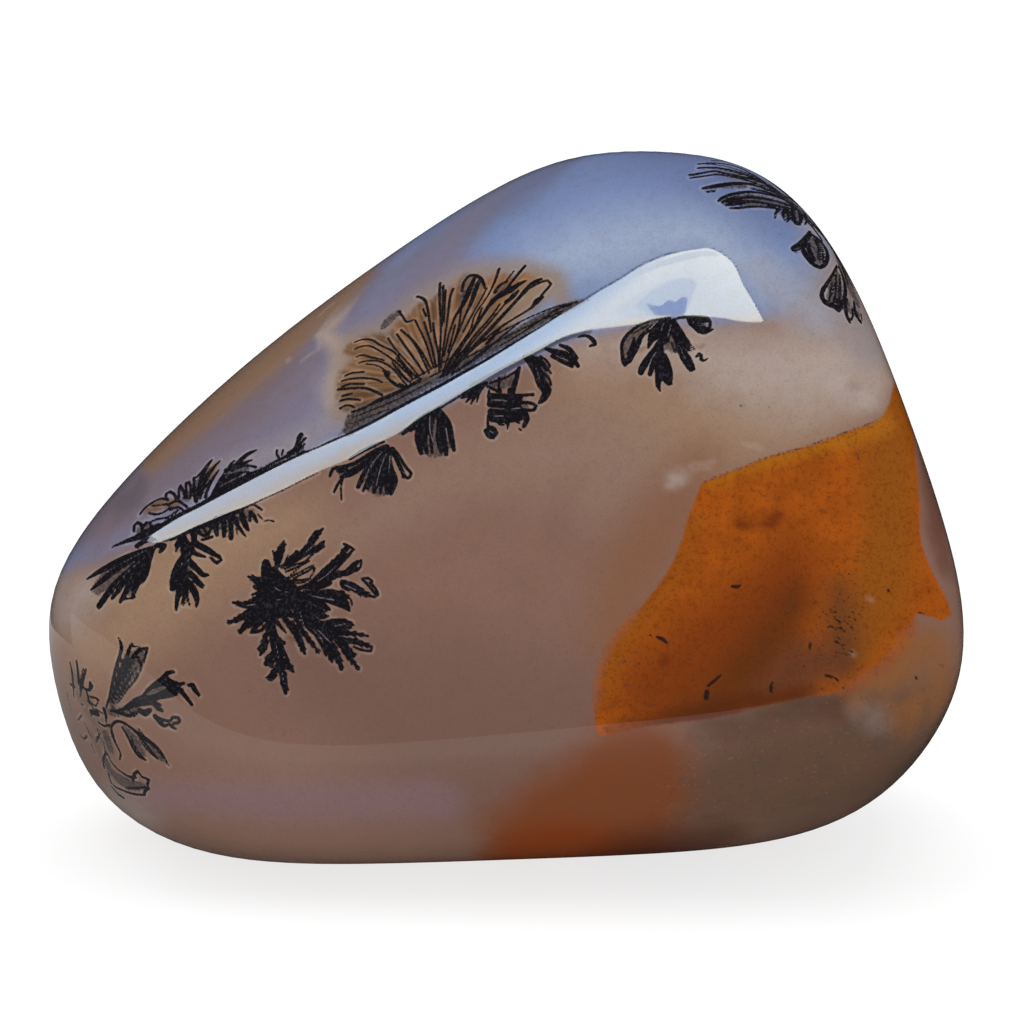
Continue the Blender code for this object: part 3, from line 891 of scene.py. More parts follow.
# Crest fern. It runs over the right shoulder: long thin leaves that lie along the crest, then
# tufts and hollow leaves that follow the edge down.
draw("ink", [
    line(1.3, (698, 164), (712, 163), (725, 164), (740, 168), (752, 174), (765, 182)),
    line(1.0, (712, 160.5), (728, 161.5), (742, 166.5)),
    line(1.4, (698, 168), (713, 167.5), (728, 169.5), (742, 173.5), (758, 180), (774, 188)),
    line(1.4, (689, 175), (702, 173), (714, 171), (722, 172.5), (737, 176), (750, 178.5), (765, 184),
         (779, 192)),
    line(1.2, (690, 178), (705, 176), (716, 174.5), (730, 176.5), (744, 179.5), (756, 183)),
    [(702, 188.5, 1.2), (712, 186.5, 2.2), (725, 184.5, 2.3), (738, 183.5, 2.1), (749, 184, 1.5),
     (762, 187.5, 1.2), (776, 193, 1.3), (788, 199, 1.2)],
    line(1.2, (706, 192), (715, 191)),
    [(718, 201, 1.2), (723, 197.5, 1.8), (731, 194.5, 1.8), (741, 192.5, 1.7), (753, 192, 1.4),
     (766, 194, 1.4), (779, 197.5, 1.4), (791, 203, 1.3), (798, 207, 1)],
    [(722, 202, 1.4), (733, 199, 2.4), (745, 197, 1.9), (757, 197.5, 1.4), (770, 200, 1.4),
     (785, 204, 1.4), (797, 208.5, 1.2)],
    [(726, 205, 1.5), (738, 202.8, 2.6), (750, 201.3, 1.9), (763, 203, 1.4), (778, 206, 1.4),
     (789, 208.5, 1.2)],
    [(730, 208, 1.1), (740, 207.7, 1.6), (752, 206.5, 1.4), (765, 207, 1.2), (778, 208.8, 1.2)],
    line(1.0, (750, 188), (764, 191), (780, 196)),
    line(1.0, (757, 184), (770, 188), (784, 195), (796, 203)),
    [(779, 209, 1.7), (775.5, 214, 1.5), (775, 219, 1)],
    [(784, 209, 1.7), (783, 216, 1.6), (785, 221, 0.9)],
    [(787, 210, 2.2), (789, 217, 2.2), (787, 222, 1)],
    [(793, 210, 2.6), (793, 217, 2.8), (796, 223, 2.2), (800, 225, 1)],
    [(799, 211, 2.2), (801, 217, 2.6), (800, 223, 1.5)],
    [(804, 213, 1.7), (807, 219, 1.6), (805, 225, 0.9)],
    [(810, 232, 1.9), (804, 239.5, 2.2), (797, 245.5, 2.2), (792, 248.5, 1.7), (796, 252, 1.5)],
    line(1.2, (808, 239), (801, 245), (798, 250)),
    [(811, 234, 1.5), (806, 242, 1.8), (803, 249, 2.3), (806, 256, 2.5), (811, 262, 2.2), (816, 266, 2),
     (820, 267.5, 1.8), (825, 264.5, 2.2), (827.5, 258, 2.5), (827, 251, 2.3), (823.5, 245, 2),
     (818, 239, 1.7), (811, 234, 1.5)],
    [(808, 244, 1.5), (810, 252, 2.4), (814, 260, 2.2)],
    line(1.2, (813, 238), (818, 247), (820, 260)),
    line(1.1, (816, 239), (823, 250), (823, 261)),
    [(837, 266, 1.4), (833, 274, 1.7), (828, 282, 2), (823, 290, 2.4), (821.8, 296, 2.4), (825, 302, 2.6),
     (830, 305, 2.4), (835, 307, 2.2), (839, 311, 1.6), (842, 304, 2.2), (845, 295, 2.4), (845, 286, 2.2),
     (843, 277, 1.8), (839, 267, 1.4)],
    line(1.2, (836, 276), (836, 290), (833, 303)),
    line(1.4, (840, 278), (840, 292), (838, 306)),
    line(1.2, (832, 283), (830, 294), (829, 301)),
    [(847, 299, 1.6), (845.5, 308, 2.2), (847, 316, 2), (850, 322.5, 1.3)],
    line(1.2, (852, 308), (853, 316), (851, 320)),
    [(854, 302, 1.5), (855, 310, 2), (857.5, 317, 2), (861, 322.5, 1.5)],
    line(1.0, (861, 314), (862, 320)),
    [(812, 224, 1.5), (822, 232, 1.8), (830, 240, 1.6), (836, 251, 1.2)],
    line(1.4, (806, 220), (814, 229), (822, 240)),
    line(1.3, (832, 247), (838, 258), (843, 270), (848, 284)),
    [(722, 160.5, 1), (742, 165, 1.8), (757, 173, 2.2), (775, 185, 2.4), (800, 206, 2.6), (820, 226, 2.4),
     (838, 250, 2.4), (850, 272, 2.2), (862, 300, 1.6), (872, 322, 1)],
    [(705, 164, 0.7), (725, 166, 0.9), (745, 172.5, 1), (760, 180.5, 1.2), (780, 195, 1.4),
     (800, 212.5, 1.4), (819, 231, 1.5), (832.5, 250, 1.5), (844, 270, 1.5), (853.5, 288, 1)],
    line(0.7, (700, 168), (720, 169), (742, 175)),
    line(0.8, (810, 243), (816, 252), (820, 264)),
    line(0.8, (815, 240), (821, 250), (823, 262)),
    line(0.8, (837, 272), (834, 288), (830, 298)),
    line(0.8, (840, 275), (838, 290), (836, 303)),
])
draw("smoke", [
    [(724, 202, 3), (738, 200, 6), (752, 200, 7), (772, 202, 5), (790, 206, 3)],
    [(706, 188, 2), (724, 186, 3), (744, 186, 3)],
    [(782, 213, 3), (794, 216, 6), (804, 217, 4)],
    [(812, 240, 4), (814, 251, 8), (819, 260, 6)],
    [(838, 274, 3), (836, 287, 8), (834, 299, 8)],
    [(848, 302, 3), (849, 310, 3), (858, 314, 3)],
    [(770, 186, 4), (800, 210, 5), (818, 228, 6), (832, 246, 6), (843, 268, 7), (851, 288, 6),
     (858, 304, 4)],
])
draw("haze", [
    [(720, 172, 5), (745, 178, 8), (770, 190, 7), (792, 203, 4)],
    [(846, 288, 5), (852, 302, 6), (860, 316, 5)],
])
draw("glint", [
    line(0.6, (735, 197), (750, 195), (768, 197.5)),
    line(0.6, (740, 200), (757, 199.5), (778, 203)),
    line(0.6, (742, 205), (760, 204.5)),
    line(0.6, (780, 213), (779, 219)),
    line(0.6, (790, 213), (791, 219)),
    line(0.6, (811, 243), (815, 252)),
    line(0.6, (820, 245), (824, 254)),
    line(0.7, (828, 291), (826, 298)),
    line(0.6, (838, 282), (837, 296)),
    line(0.6, (843, 282), (842, 298)),
    line(0.6, (770, 184), (790, 199), (808, 216)),
])

# Ferns that the photograph doesn't show. A few smaller ones spread over the back and the two ends,
# each a fan of fronds from one root, with leaves that lean forward on both sides of each frond.
FROND_STEPS = 8
FROND_BEND = 45
FROND_TURN = 8
FROND_SHARES = (0.7, 1.1)
STEM_WIDTH, STEM_TAPER = 3.0, 0.3
LEAF_CHANCE = 0.85
LEAF_LEAN = (20, 42)
LEAF_LENGTH = (0.18, 0.34)
LEAF_WIDTHS = (1.8, 2.6, 0.9)


def frond(x, y, bearing, length):
    """A stem that bends as it grows, and its leaves, from a root and at degrees from the right."""
    bend = chance.uniform(-FROND_BEND, FROND_BEND)
    stem, leaves = [(x, y, STEM_WIDTH + 0.2)], []
    for step in range(1, FROND_STEPS + 1):
        angle = math.radians(bearing + bend * step / FROND_STEPS)
        x += length / FROND_STEPS * math.cos(angle)
        y -= length / FROND_STEPS * math.sin(angle)
        stem.append((x, y, STEM_WIDTH - STEM_TAPER * step))
        for side in (-1, 1):
            if step > 1 and chance.random() < LEAF_CHANCE:
                apart = angle + side * math.radians(chance.uniform(*LEAF_LEAN))
                leaf = length * chance.uniform(*LEAF_LENGTH) * (1.2 - step / FROND_STEPS)
                tip_x, tip_y = x + leaf * math.cos(apart), y - leaf * math.sin(apart)
                middle_x = (x + tip_x) / 2 + chance.uniform(-2, 2)
                middle_y = (y + tip_y) / 2 + chance.uniform(-2, 2)
                places_along = ((x, y), (middle_x, middle_y), (tip_x, tip_y))
                leaves.append([(*spot, width) for spot, width in zip(places_along, LEAF_WIDTHS)])
    return [stem] + leaves


for turn, x, y, bearings, reach_out in (
    (180, 520, 470, (200, 232, 262, 290, 322, 350), 100),
    (180, 690, 560, (30, 250, 285, 320), 66),
    (180, 300, 520, (150, 190, 228, 262), 66),
    (90, 470, 430, (215, 250, 285, 320), 64),
    (-90, 520, 560, (220, 255, 290, 325), 64),
):
    for bearing in bearings:
        turned_to = bearing + chance.uniform(-FROND_TURN, FROND_TURN)
        draw("ink", frond(x, y, turned_to, reach_out * chance.uniform(*FROND_SHARES)), turn)
    draw("ink", [[(x - 6, y, 5), (x + 6, y + 2, 6)]], turn)

# Flaws. Black pits and a cluster of brown specks in the jasper, a dark seam along its upper edge,
# fine cracks, freckles above it, and white curls of clear quartz where the clouds are healed.
SPECKS = 100
SPECKS_ACROSS = (836, 17)
SPECKS_DOWN = (628, 26)
SPECK_WIDTHS = (0.6, 1.4)
SPECK_LENGTH = 1.2
draw("pit", [
    [(721, 675, 1.2), (714, 681, 1.8), (708, 686, 1.4)],
    [(707, 692, 2.6), (706, 698, 2.6)],
    [(772, 683, 1.4), (771, 688, 2), (771, 693, 1.2)],
    [(810, 644, 1.8), (810, 649, 1.4)],
    [(826, 675.5, 1.6), (832, 677, 1.6)],
    [(836, 679, 1.6), (838, 681, 1)],
    [(916, 677, 1.8), (916.5, 679, 1.4)],
    [(888, 590, 1.6), (890, 592, 1.2)],
    [(732, 586, 1.6), (737, 587, 2), (741, 585, 1)],
    [(657, 637, 1.4), (662, 639, 2.2), (667, 643, 1.2)],
    [(650, 635, 1.2), (651, 636, 1)],
    [(821, 688, 1.2), (822, 690, 1)],
    [(918, 612, 0.9), (924, 614, 0.9)],
])
draw("smoke", [
    line(1.0, (704, 482), (722, 475), (739, 468.5), (765, 458.5), (790, 451.5), (815, 443.5),
         (851, 430.5), (879, 419.5)),
    line(0.8, (846, 443), (853, 449), (864, 466), (868, 480)),
    line(0.7, (882, 428), (880, 442), (876, 454)),
    line(0.9, (795, 592), (794, 602), (797, 612)),
    line(0.8, (862, 573), (867, 567)),
    line(0.7, (618, 664), (628, 660), (640, 664)),
    line(0.7, (622, 684), (634, 688), (646, 684)),
    line(0.7, (640, 702), (654, 705), (664, 700)),
    line(0.8, (628, 651), (640, 655)),
    line(1.0, (740, 406), (744, 404.5)),
    line(1.0, (751, 393.5), (753, 394)),
    line(1.0, (756, 404), (758, 405)),
    line(1.0, (769, 407), (770, 408)),
    line(1.1, (940, 664), (944, 668)),
    line(0.9, (708, 516), (710, 518)),
    line(0.9, (732, 495), (734, 496)),
    line(0.9, (764, 496), (766, 498)),
    line(1.0, (700, 632), (703, 633)),
    line(1.0, (690, 620), (693, 618)),
])
for _ in range(SPECKS):
    across, down = chance.gauss(*SPECKS_ACROSS), chance.gauss(*SPECKS_DOWN)
    wide_end = (across, down, chance.uniform(*SPECK_WIDTHS))
    thin_end = (across + SPECK_LENGTH, down + chance.uniform(-1, 1), SPECK_WIDTHS[0])
    draw("pit", [[wide_end, thin_end]])
draw("frost", [
    [(829, 384, 1.0), (836, 381, 1.8), (843, 378, 2.2), (848, 377, 1.2)],
    [(832, 389, 1.0), (838, 386, 1.8), (846, 382, 1.4)],
    [(857, 393, 1.6), (865, 395, 2.4), (872, 400, 2.6), (875, 407, 1.4)],
    [(860, 402, 1.6), (866, 405, 2.0), (870, 409, 1.2)],
    [(672, 477, 2.0), (678, 480, 3.0), (682, 483, 1.6)],
    [(668, 486, 1.2), (674, 484, 1.6)],
    line(0.9, (691, 466), (697, 463.5), (704, 464), (713, 461)),
    line(0.8, (694, 470), (702, 468), (710, 468)),
    line(0.8, (744, 444), (750, 446), (757, 445)),
    line(0.8, (756, 448), (762, 449.5)),
    line(0.9, (741, 384), (747, 389), (752, 386)),
    line(1.2, (317, 334), (319, 342), (318, 350)),
    line(1.0, (314, 352), (308, 356), (302, 361)),
    line(1.0, (320, 315), (326, 309), (334, 303)),
    line(1.4, (288, 359), (289, 361)),
    line(0.8, (868, 598), (872, 600)),
    line(0.8, (852, 653), (854, 655)),
])

# Finer cells where the dendrites lie. The cells near a stroke are split in half three times, and
# each time their corners are put back on the surface, until a cell is as fine as the thinnest stroke.
FAR = 1.0
SPLITS = [0.50, 0.22, 0.10]
SOFT_SPLITS = 1
BLOCK = 2000


def distance_to(strokes, points, far=FAR):
    """How far each point is outside the nearest of these strokes: below 0 inside it, at most far."""
    nearest = np.full(len(points), far)
    for stroke in strokes:
        centres, radii = stroke[:, :-1], stroke[:, -1]
        run = centres[1:] - centres[:-1]
        low = (centres - radii[:, None]).min(axis=0) - far
        high = (centres + radii[:, None]).max(axis=0) + far
        close = np.nonzero(((points > low) & (points < high)).all(axis=1))[0]
        for start in range(0, len(close), BLOCK):
            some = close[start:start + BLOCK]
            offset = points[some][:, None, :] - centres[None, :-1, :]
            share = (offset * run).sum(axis=2) / np.maximum((run * run).sum(axis=1), 1e-9)
            share = np.clip(share, 0.0, 1.0)
            gap = np.linalg.norm(offset - share[:, :, None] * run, axis=2)
            gap -= radii[:-1] + share * (radii[1:] - radii[:-1])
            nearest[some] = np.minimum(nearest[some], gap.min(axis=1))
    return nearest


for level, margin in enumerate(SPLITS):
    corners = coordinates(stone.data) / MM
    wanted = np.abs(distance_to(marks["ink"] + marks["pit"], corners)) < margin
    if level <= SOFT_SPLITS:
        soft_marks = marks["ink"] + marks["smoke"] + marks["rust"] + marks["streak_rim_shade"] + marks["frost"]
        wanted |= distance_to(soft_marks, corners) < margin
    corner_of = np.empty(len(stone.data.loops), np.int32)
    stone.data.loops.foreach_get("vertex_index", corner_of)
    first_loop = np.empty(len(stone.data.polygons), np.int32)
    stone.data.polygons.foreach_get("loop_start", first_loop)
    chosen = np.logical_or.reduceat(wanted[corner_of], first_loop)
    bpy.ops.object.mode_set(mode="EDIT")
    bpy.ops.mesh.select_mode(type="FACE")
    bpy.ops.mesh.select_all(action="DESELECT")
    bpy.ops.object.mode_set(mode="OBJECT")
    stone.data.polygons.foreach_set("select", chosen)
    bpy.ops.object.mode_set(mode="EDIT")
    bpy.ops.mesh.subdivide(number_cuts=1, ngon=False)
    bpy.ops.object.mode_set(mode="OBJECT")
    cast(stone.data)

bpy.ops.object.mode_set(mode="EDIT")
bpy.ops.mesh.select_all(action="SELECT")
bpy.ops.mesh.bisect(
    plane_co=(0, 0, 0), plane_no=(0, 0, -1), use_fill=True, clear_outer=True, threshold=1e-7)
bpy.ops.object.mode_set(mode="OBJECT")
stone.data.shade_smooth()

places = coordinates(stone.data) / MM
directions = outward(places)
directions[places[:, 2] < 1e-3] = (0, 0, -1)
stone.data.normals_split_custom_set_from_vertices([tuple(direction) for direction in directions])


def keep(name, values):
    """Stores one number for each vertex of the stone, for its material to read."""
    stone.data.attributes.new(name, "FLOAT", "POINT").data.foreach_set("value", values.astype(np.float32))


for tone, strokes in marks.items():
    keep(tone, distance_to(strokes, places))

# Colour zones. The chalcedony is layered in colour from front to back, so each zone is an outline
# in the front view that goes right through the stone, leaning a little with depth. A few zones are
# painted light and shade instead: the blue top is partly a painted reflection, the pale zone over the
# streak's flare is a painted sheen, and the crest, the foot, the toe and the band along the streak are
# painted shade. Outlines and soft clouds are in pixels, and a vertex keeps how far outside each of
# them it is, in millimetres.
DEPTH_SKEW = (-0.8, 0.5)
ZONE_FAR = 12.0
# The blue top: partly the chalcedony's own blue and partly a painted reflection of the light from above.
BLUE_TOP_AND_SHEEN = [
    (20, 600), (60, 572), (110, 552), (150, 538), (240, 495), (343, 448), (424, 411), (512, 368),
    (575, 340), (650, 322), (720, 322), (780, 310), (826, 272), (850, 215), (900, 160), (1000, 120),
    (1000, 60), (20, 60),
]
WEB = [
    (341, 407), (338, 390), (341, 374), (354, 357), (355, 343), (370, 336), (392, 333), (397, 322),
    (415, 314), (438, 302), (452, 291), (466, 276), (494, 280), (522, 275), (551, 281), (540, 303),
    (519, 320), (494, 342), (466, 358), (438, 375), (409, 384), (381, 397), (356, 411),
]
# A band painted darker along the bright streak's upper edge: painted shade beside the mirrored lamp.
SHADE_BAND = [
    (338, 436), (346, 424), (350, 413), (381, 399), (409, 385), (424, 377), (452, 364), (486, 344),
    (520, 325), (556, 306), (592, 297), (575, 308), (545, 323), (510, 341), (470, 363), (430, 385),
    (390, 408),
]
JASPER = [
    (596, 738), (594, 700), (599, 671), (613, 639), (637, 611), (660, 582), (677, 552), (688, 519),
    (700, 486), (703, 482), (739, 468), (765, 458), (815, 443), (851, 430), (879, 419), (889, 403),
    (897, 378), (912, 392), (914, 425), (917, 470), (920, 504), (921, 540), (934, 576), (946, 597),
    (952, 615), (946, 621), (930, 617), (917, 615), (913, 631), (891, 662), (864, 680), (836, 693),
    (803, 697), (754, 709), (707, 719), (640, 728),
]
EMBER = [
    (480, 900), (485, 823), (512, 797), (540, 776), (569, 756), (600, 725), (640, 715), (676, 730),
    (690, 780), (676, 833), (650, 900),
]
CLOUDS = {
    "tan": [
        [(90, 650, 20), (150, 600, 40), (220, 550, 40), (300, 520, 20)],
        [(590, 385, 30), (660, 410, 45), (740, 425, 50), (800, 420, 40), (840, 380, 40)],
    ],
    "dawn": [[(56, 575, 12), (62, 612, 16), (84, 590, 16)], [(110, 800, 8), (140, 818, 10)]],
    "pale": [
        [(350, 535, 10), (400, 505, 20), (460, 470, 26), (540, 455, 42), (610, 450, 42), (600, 490, 30)],
    ],
    "cream": [
        [(590, 350, 8), (640, 345, 12), (690, 350, 22), (740, 365, 36), (800, 370, 44), (855, 360, 34)],
    ],
    "blush": [[(300, 660, 40), (380, 700, 60), (470, 740, 90), (570, 700, 50)]],
    "umber": [[(690, 800, 40), (760, 775, 60), (860, 750, 60), (925, 700, 20)]],
    "peach": [[(860, 700, 6), (898, 672, 18), (930, 640, 14), (938, 690, 12), (905, 715, 14)]],
    # Painted shade: the lower body darker towards the bottom.
    "foot": [[(180, 850, 6), (300, 880, 14), (480, 890, 20), (700, 870, 20), (820, 835, 8)]],
    "dusk": [[(180, 500, 20), (250, 440, 40), (320, 385, 40), (390, 320, 35), (440, 260, 30)]],
    # Painted shade: the crest is darker along the top edge of the stone.
    "crest": [
        [(440, 215, 14), (520, 175, 20), (590, 150, 24), (660, 146, 32), (730, 172, 34), (790, 210, 20)],
    ],
    # Painted sheen: a paler glow over the slope round the bright flare of the streak.
    "flare_sheen": [
        [(545, 262, 16), (600, 250, 26), (650, 240, 24), (700, 232, 20), (730, 255, 22), (765, 280, 14)],
    ],
    "dim": [[(760, 270, 6), (785, 292, 18), (820, 310, 22)]],
    "ash": [[(812, 225, 8), (832, 280, 16), (856, 320, 18), (868, 350, 16)]],
    "mauve": [[(88, 540, 20), (120, 508, 34), (190, 440, 30), (260, 375, 34), (330, 310, 18)]],
    "steel": [[(345, 310, 6), (390, 275, 16), (430, 252, 22), (480, 215, 14), (520, 195, 10)]],
    "soot": [[(118, 512, 5), (132, 500, 8), (142, 484, 4)]],
    "veil": [[(230, 468, 6), (300, 442, 12), (332, 415, 14), (332, 385, 12)]],
    "tear": [
        [(318, 330, 3), (328, 338, 7), (341, 350, 9), (338, 380, 9), (332, 402, 5)],
        [(322, 332, 3), (340, 318, 3)],
    ],
    "halo": [
        [(342, 412, 12), (346, 380, 12), (352, 345, 12), (390, 328, 12), (425, 300, 11), (465, 276, 11),
         (520, 270, 11), (552, 280, 12), (562, 298, 10)],
    ],
    "fade": [[(548, 288, 12), (532, 300, 12), (512, 318, 8)]],
    "melt": [
        [(905, 640, 16), (884, 668, 16), (850, 690, 8)],
        [(598, 700, 5), (608, 652, 4), (632, 618, 3)],
    ],
    "flame": [[(715, 495, 12), (770, 480, 26), (840, 462, 22)]],
    "amber": [[(712, 484, 3), (750, 468, 5), (800, 452, 7), (850, 438, 10), (884, 425, 10)]],
    "loam": [[(838, 590, 12), (842, 628, 20), (846, 662, 14)]],
    "gold": [
        [(893, 395, 12), (888, 450, 26), (890, 530, 26), (880, 590, 30), (860, 650, 16)],
        [(604, 690, 6), (619, 650, 7), (644, 612, 7), (674, 572, 6), (692, 520, 5)],
    ],
    "russet": [[(790, 545, 14), (780, 590, 36), (730, 640, 44), (660, 690, 40)]],
    "bole": [[(680, 716, 8), (725, 696, 24), (760, 660, 26), (785, 620, 18), (799, 590, 6)]],
    "plum": [[(768, 690, 12), (800, 670, 26), (826, 662, 18)]],
    "pearl": [[(674, 481, 5), (682, 476, 3)], [(838, 385, 8), (862, 398, 14), (882, 384, 5)]],
    "lilac": [[(866, 712, 14), (880, 722, 12)]],
    "ochre": [[(700, 460, 14), (664, 520, 26), (628, 580, 28), (604, 640, 18)]],
    "crust": [[(612, 728, 5), (660, 721, 7), (710, 712, 10), (760, 702, 10), (806, 692, 7)]],
    "bark": [[(690, 728, 8), (740, 722, 12), (800, 708, 14), (856, 702, 14)]],
    "bloom": [[(160, 795, 14), (300, 802, 20), (440, 800, 18)]],
    # Painted shade: darker along the bottom edge at the right.
    "toe": [[(596, 862, 8), (640, 852, 16), (690, 846, 16), (730, 836, 8)]],
    "dimple": [[(850, 384, 4), (856, 387, 5)]],
    "blotch": [[(741, 523, 7), (749, 526, 6)], [(768, 524, 7), (778, 517, 7)], [(757, 514, 3)],
        [(665, 660, 5)]],
    "coal": [[(495, 870, 12), (540, 850, 26), (600, 855, 26), (640, 875, 14)]],
    "rose": [[(919, 430, 4), (930, 490, 8), (938, 540, 9), (948, 575, 5)]],
}

# The small clouds lie close under the front and don't reach the back. A brown peel is left along
# the upper left edge, where the polished surface turns out of sight.
ON_THE_FRONT = (
    "soot", "tear", "halo", "fade", "pearl", "lilac", "veil", "dimple", "blotch", "melt", "crust", "bark",
    "toe",
)
PEEL = [(150, 462, 10), (200, 412, 16), (250, 366, 20), (300, 322, 18), (340, 290, 14), (368, 268, 6)]
PEEL_WIDTH, PEEL_EDGE = 0.5, 4.0
FADE_BEHIND = 20.0
SKEW_START = 10.0

depth = places @ to_camera - camera_eye @ to_camera
photo_x = IMAGE_PIXELS / 2 - (places - camera_eye) @ image_right * CAMERA_DISTANCE / depth / PIXEL
photo_y = IMAGE_PIXELS / 2 + (places - camera_eye) @ image_up * CAMERA_DISTANCE / depth / PIXEL
behind = np.maximum(places[:, 1] - cad_low[1] / MM - SKEW_START, 0.0) / PIXEL
spots = np.stack([photo_x + DEPTH_SKEW[0] * behind, photo_y + DEPTH_SKEW[1] * behind], axis=1)
photo_spots = np.stack([photo_x, photo_y], axis=1)
facing = directions @ to_camera
turned_away = np.maximum(-facing, 0.0) * FADE_BEHIND


def distance_outside(outline):
    """How far each vertex is outside a closed outline, in millimetres; below 0 inside it."""
    ring = smoothed([(x, y, 0) for x, y in outline + outline[:1]])
    ring[:, 2] = 0
    far = ZONE_FAR / PIXEL
    rim = distance_to([ring], spots, far)
    crossings = np.zeros(len(spots), int)
    for (x0, y0, _), (x1, y1, _) in zip(ring, ring[1:]):
        spans = (y0 > spots[:, 1]) != (y1 > spots[:, 1])
        if y0 != y1:
            crossings += spans & (spots[:, 0] < x0 + (spots[:, 1] - y0) * (x1 - x0) / (y1 - y0))
    return np.where(crossings % 2, -rim, rim) * PIXEL


def distance_to_cloud(strokes, at):
    """How far each vertex is outside soft strokes, in millimetres; below 0 inside them."""
    return distance_to([smoothed(stroke) for stroke in strokes], at, ZONE_FAR / PIXEL) * PIXEL


keep("blue_top_and_sheen", distance_outside(BLUE_TOP_AND_SHEEN))
keep("jasper", distance_outside(JASPER))
keep("ember", distance_outside(EMBER))
keep("web", distance_outside(WEB) + turned_away)
keep("streak_shade_band", distance_outside(SHADE_BAND) + turned_away)
for name, strokes in CLOUDS.items():
    keep(name, distance_to_cloud(strokes, spots) + turned_away * (name in ON_THE_FRONT))
keep("peel", np.maximum(distance_to_cloud([PEEL], photo_spots), (np.abs(facing) - PEEL_WIDTH) * PEEL_EDGE))

# Polish. The whole surface was tumbled to a wet gloss. Its colours are the zones of the chalcedony
# and the jasper, with some painted shade and reflection among them, clouded a little, with the
# dendrites, the flaws and the painted shade along the bright streak over them.
LIGHT = 1.08
SPOKES = 12.0
ROUGHNESS = 0.02
REFRACTION = 1.54

polish = bpy.data.materials.new("polished_agate")
polish.use_nodes = True


class Wire:
    """The output of a node. An operator between wires, or a wire and a number, adds a Math node."""

    tree = polish.node_tree

    def __init__(self, socket):
        self.socket = socket

    @staticmethod
    def node(kind, settings=None, inputs=None, output=0):
        """Adds a node: its settings are set first, then the values or links of its inputs."""
        made = Wire.tree.nodes.new(kind)
        for name, setting in (settings or {}).items():
            setattr(made, name, setting)
        for name, value in (inputs or {}).items():
            if isinstance(value, Wire):
                value.feed(made.inputs[name])
            else:
                made.inputs[name].default_value = value
        return Wire(made.outputs[output])

    def feed(self, socket):
        """Links this output to an input."""
        Wire.tree.links.new(self.socket, socket)

    def maths(self, operation, other):
        """A Math node on this output and another value."""
        return Wire.node("ShaderNodeMath", {"operation": operation}, {0: self, 1: other})

    def __add__(self, other):
        return self.maths("ADD", other)

    def __mul__(self, other):
        return self.maths("MULTIPLY", other)

    def __sub__(self, other):
        return self.maths("SUBTRACT", other)

    def __rsub__(self, other):
        return Wire.node("ShaderNodeMath", {"operation": "SUBTRACT"}, {0: other, 1: self})


def ramp(value, low, high):
    """0 where the value is below low, 1 where it is above high, with a soft step between."""
    settings = {"interpolation_type": "SMOOTHSTEP"}
    return Wire.node("ShaderNodeMapRange", settings, {"Value": value, "From Min": low, "From Max": high})


def mixed(share, first, second):
    """The first colour turned into the second by a share from 0 to 1."""
    return Wire.node("ShaderNodeMix", {"data_type": "RGBA"}, {0: share, 6: first, 7: second}, 2)


def attribute(name):
    """What the stone's vertices keep under this name."""
    return Wire.node("ShaderNodeAttribute", {"attribute_name": name}, output=2)


def seen(red, green, blue):
    """The surface colour that looks like this screen colour, from 0 to 255, under the studio's light."""
    linear = [((c / 255 + 0.055) / 1.055) ** 2.4 if c > 10 else c / 255 / 12.92 for c in (red, green, blue)]
    return tuple(c / LIGHT for c in linear) + (1.0,)


place = Wire.node("ShaderNodeTexCoord", output=3)


def noise(size, detail):
    """Cloudy noise from 0 to 1 with blots of a size in millimetres."""
    inputs = {"Vector": place, "Scale": 1 / (size * MM), "Detail": detail}
    return Wire.node("ShaderNodeTexNoise", {}, inputs)


ragged = noise(0.13, 3.0) - 0.5
drift = noise(4.0, 4.0) - 0.5
wander = noise(1.2, 3.0) - 0.5


def covered(colour, *zones):
    """Lays zones over a colour: name, screen colour, softness of the edge, strength, bend of the edge."""
    for name, shade, soft, strength, bend in zones:
        edge = attribute(name) + wander * bend
        colour = mixed(ramp(edge, soft, -soft) * strength, colour, seen(*shade))
    return colour


tint = covered(
    mixed(ramp(drift, -0.3, 0.3), seen(127, 96, 82), seen(134, 102, 89)),
    ("tan", (157, 127, 103), 2.6, 0.9, 1.2),
    ("pale", (146, 119, 104), 2.4, 0.85, 1.0),
    ("dawn", (160, 146, 140), 1.4, 0.9, 0.6),
    ("cream", (173, 156, 147), 2.0, 0.95, 1.2),
    ("blush", (118, 89, 79), 2.6, 0.9, 1.5),
    ("bloom", (131, 104, 108), 1.0, 0.8, 0.6),
    ("umber", (99, 73, 57), 2.0, 0.95, 1.0),
    ("ochre", (134, 91, 66), 1.6, 0.8, 0.8),
    ("bark", (84, 55, 40), 0.8, 0.8, 0.6),
    ("lilac", (132, 112, 106), 0.7, 0.8, 0.6),
    ("peach", (138, 89, 50), 1.0, 0.9, 1.0),
    # The blue top, partly the stone's blue and partly painted reflection of the light from above.
    ("blue_top_and_sheen", (117, 135, 175), 0.6, 1.0, 0.5),
    # Painted sheen round the bright flare of the streak.
    ("flare_sheen", (158, 170, 194), 1.8, 0.95, 0.8),
    # The crest, painted shade along the top edge.
    ("crest", (93, 104, 144), 1.8, 0.9, 0.6),
    ("steel", (100, 103, 128), 1.0, 0.85, 0.6),
    ("dusk", (118, 111, 130), 1.6, 0.95, 0.8),
    ("dim", (156, 157, 170), 1.2, 0.9, 0.8),
    ("ash", (140, 131, 134), 1.1, 0.9, 0.8),
    ("mauve", (113, 95, 98), 1.4, 0.9, 1.0),
)
tint = mixed(ramp(attribute("peel") + wander * 0.25, 0.45, -0.35) * 0.85, tint, seen(134, 104, 79))
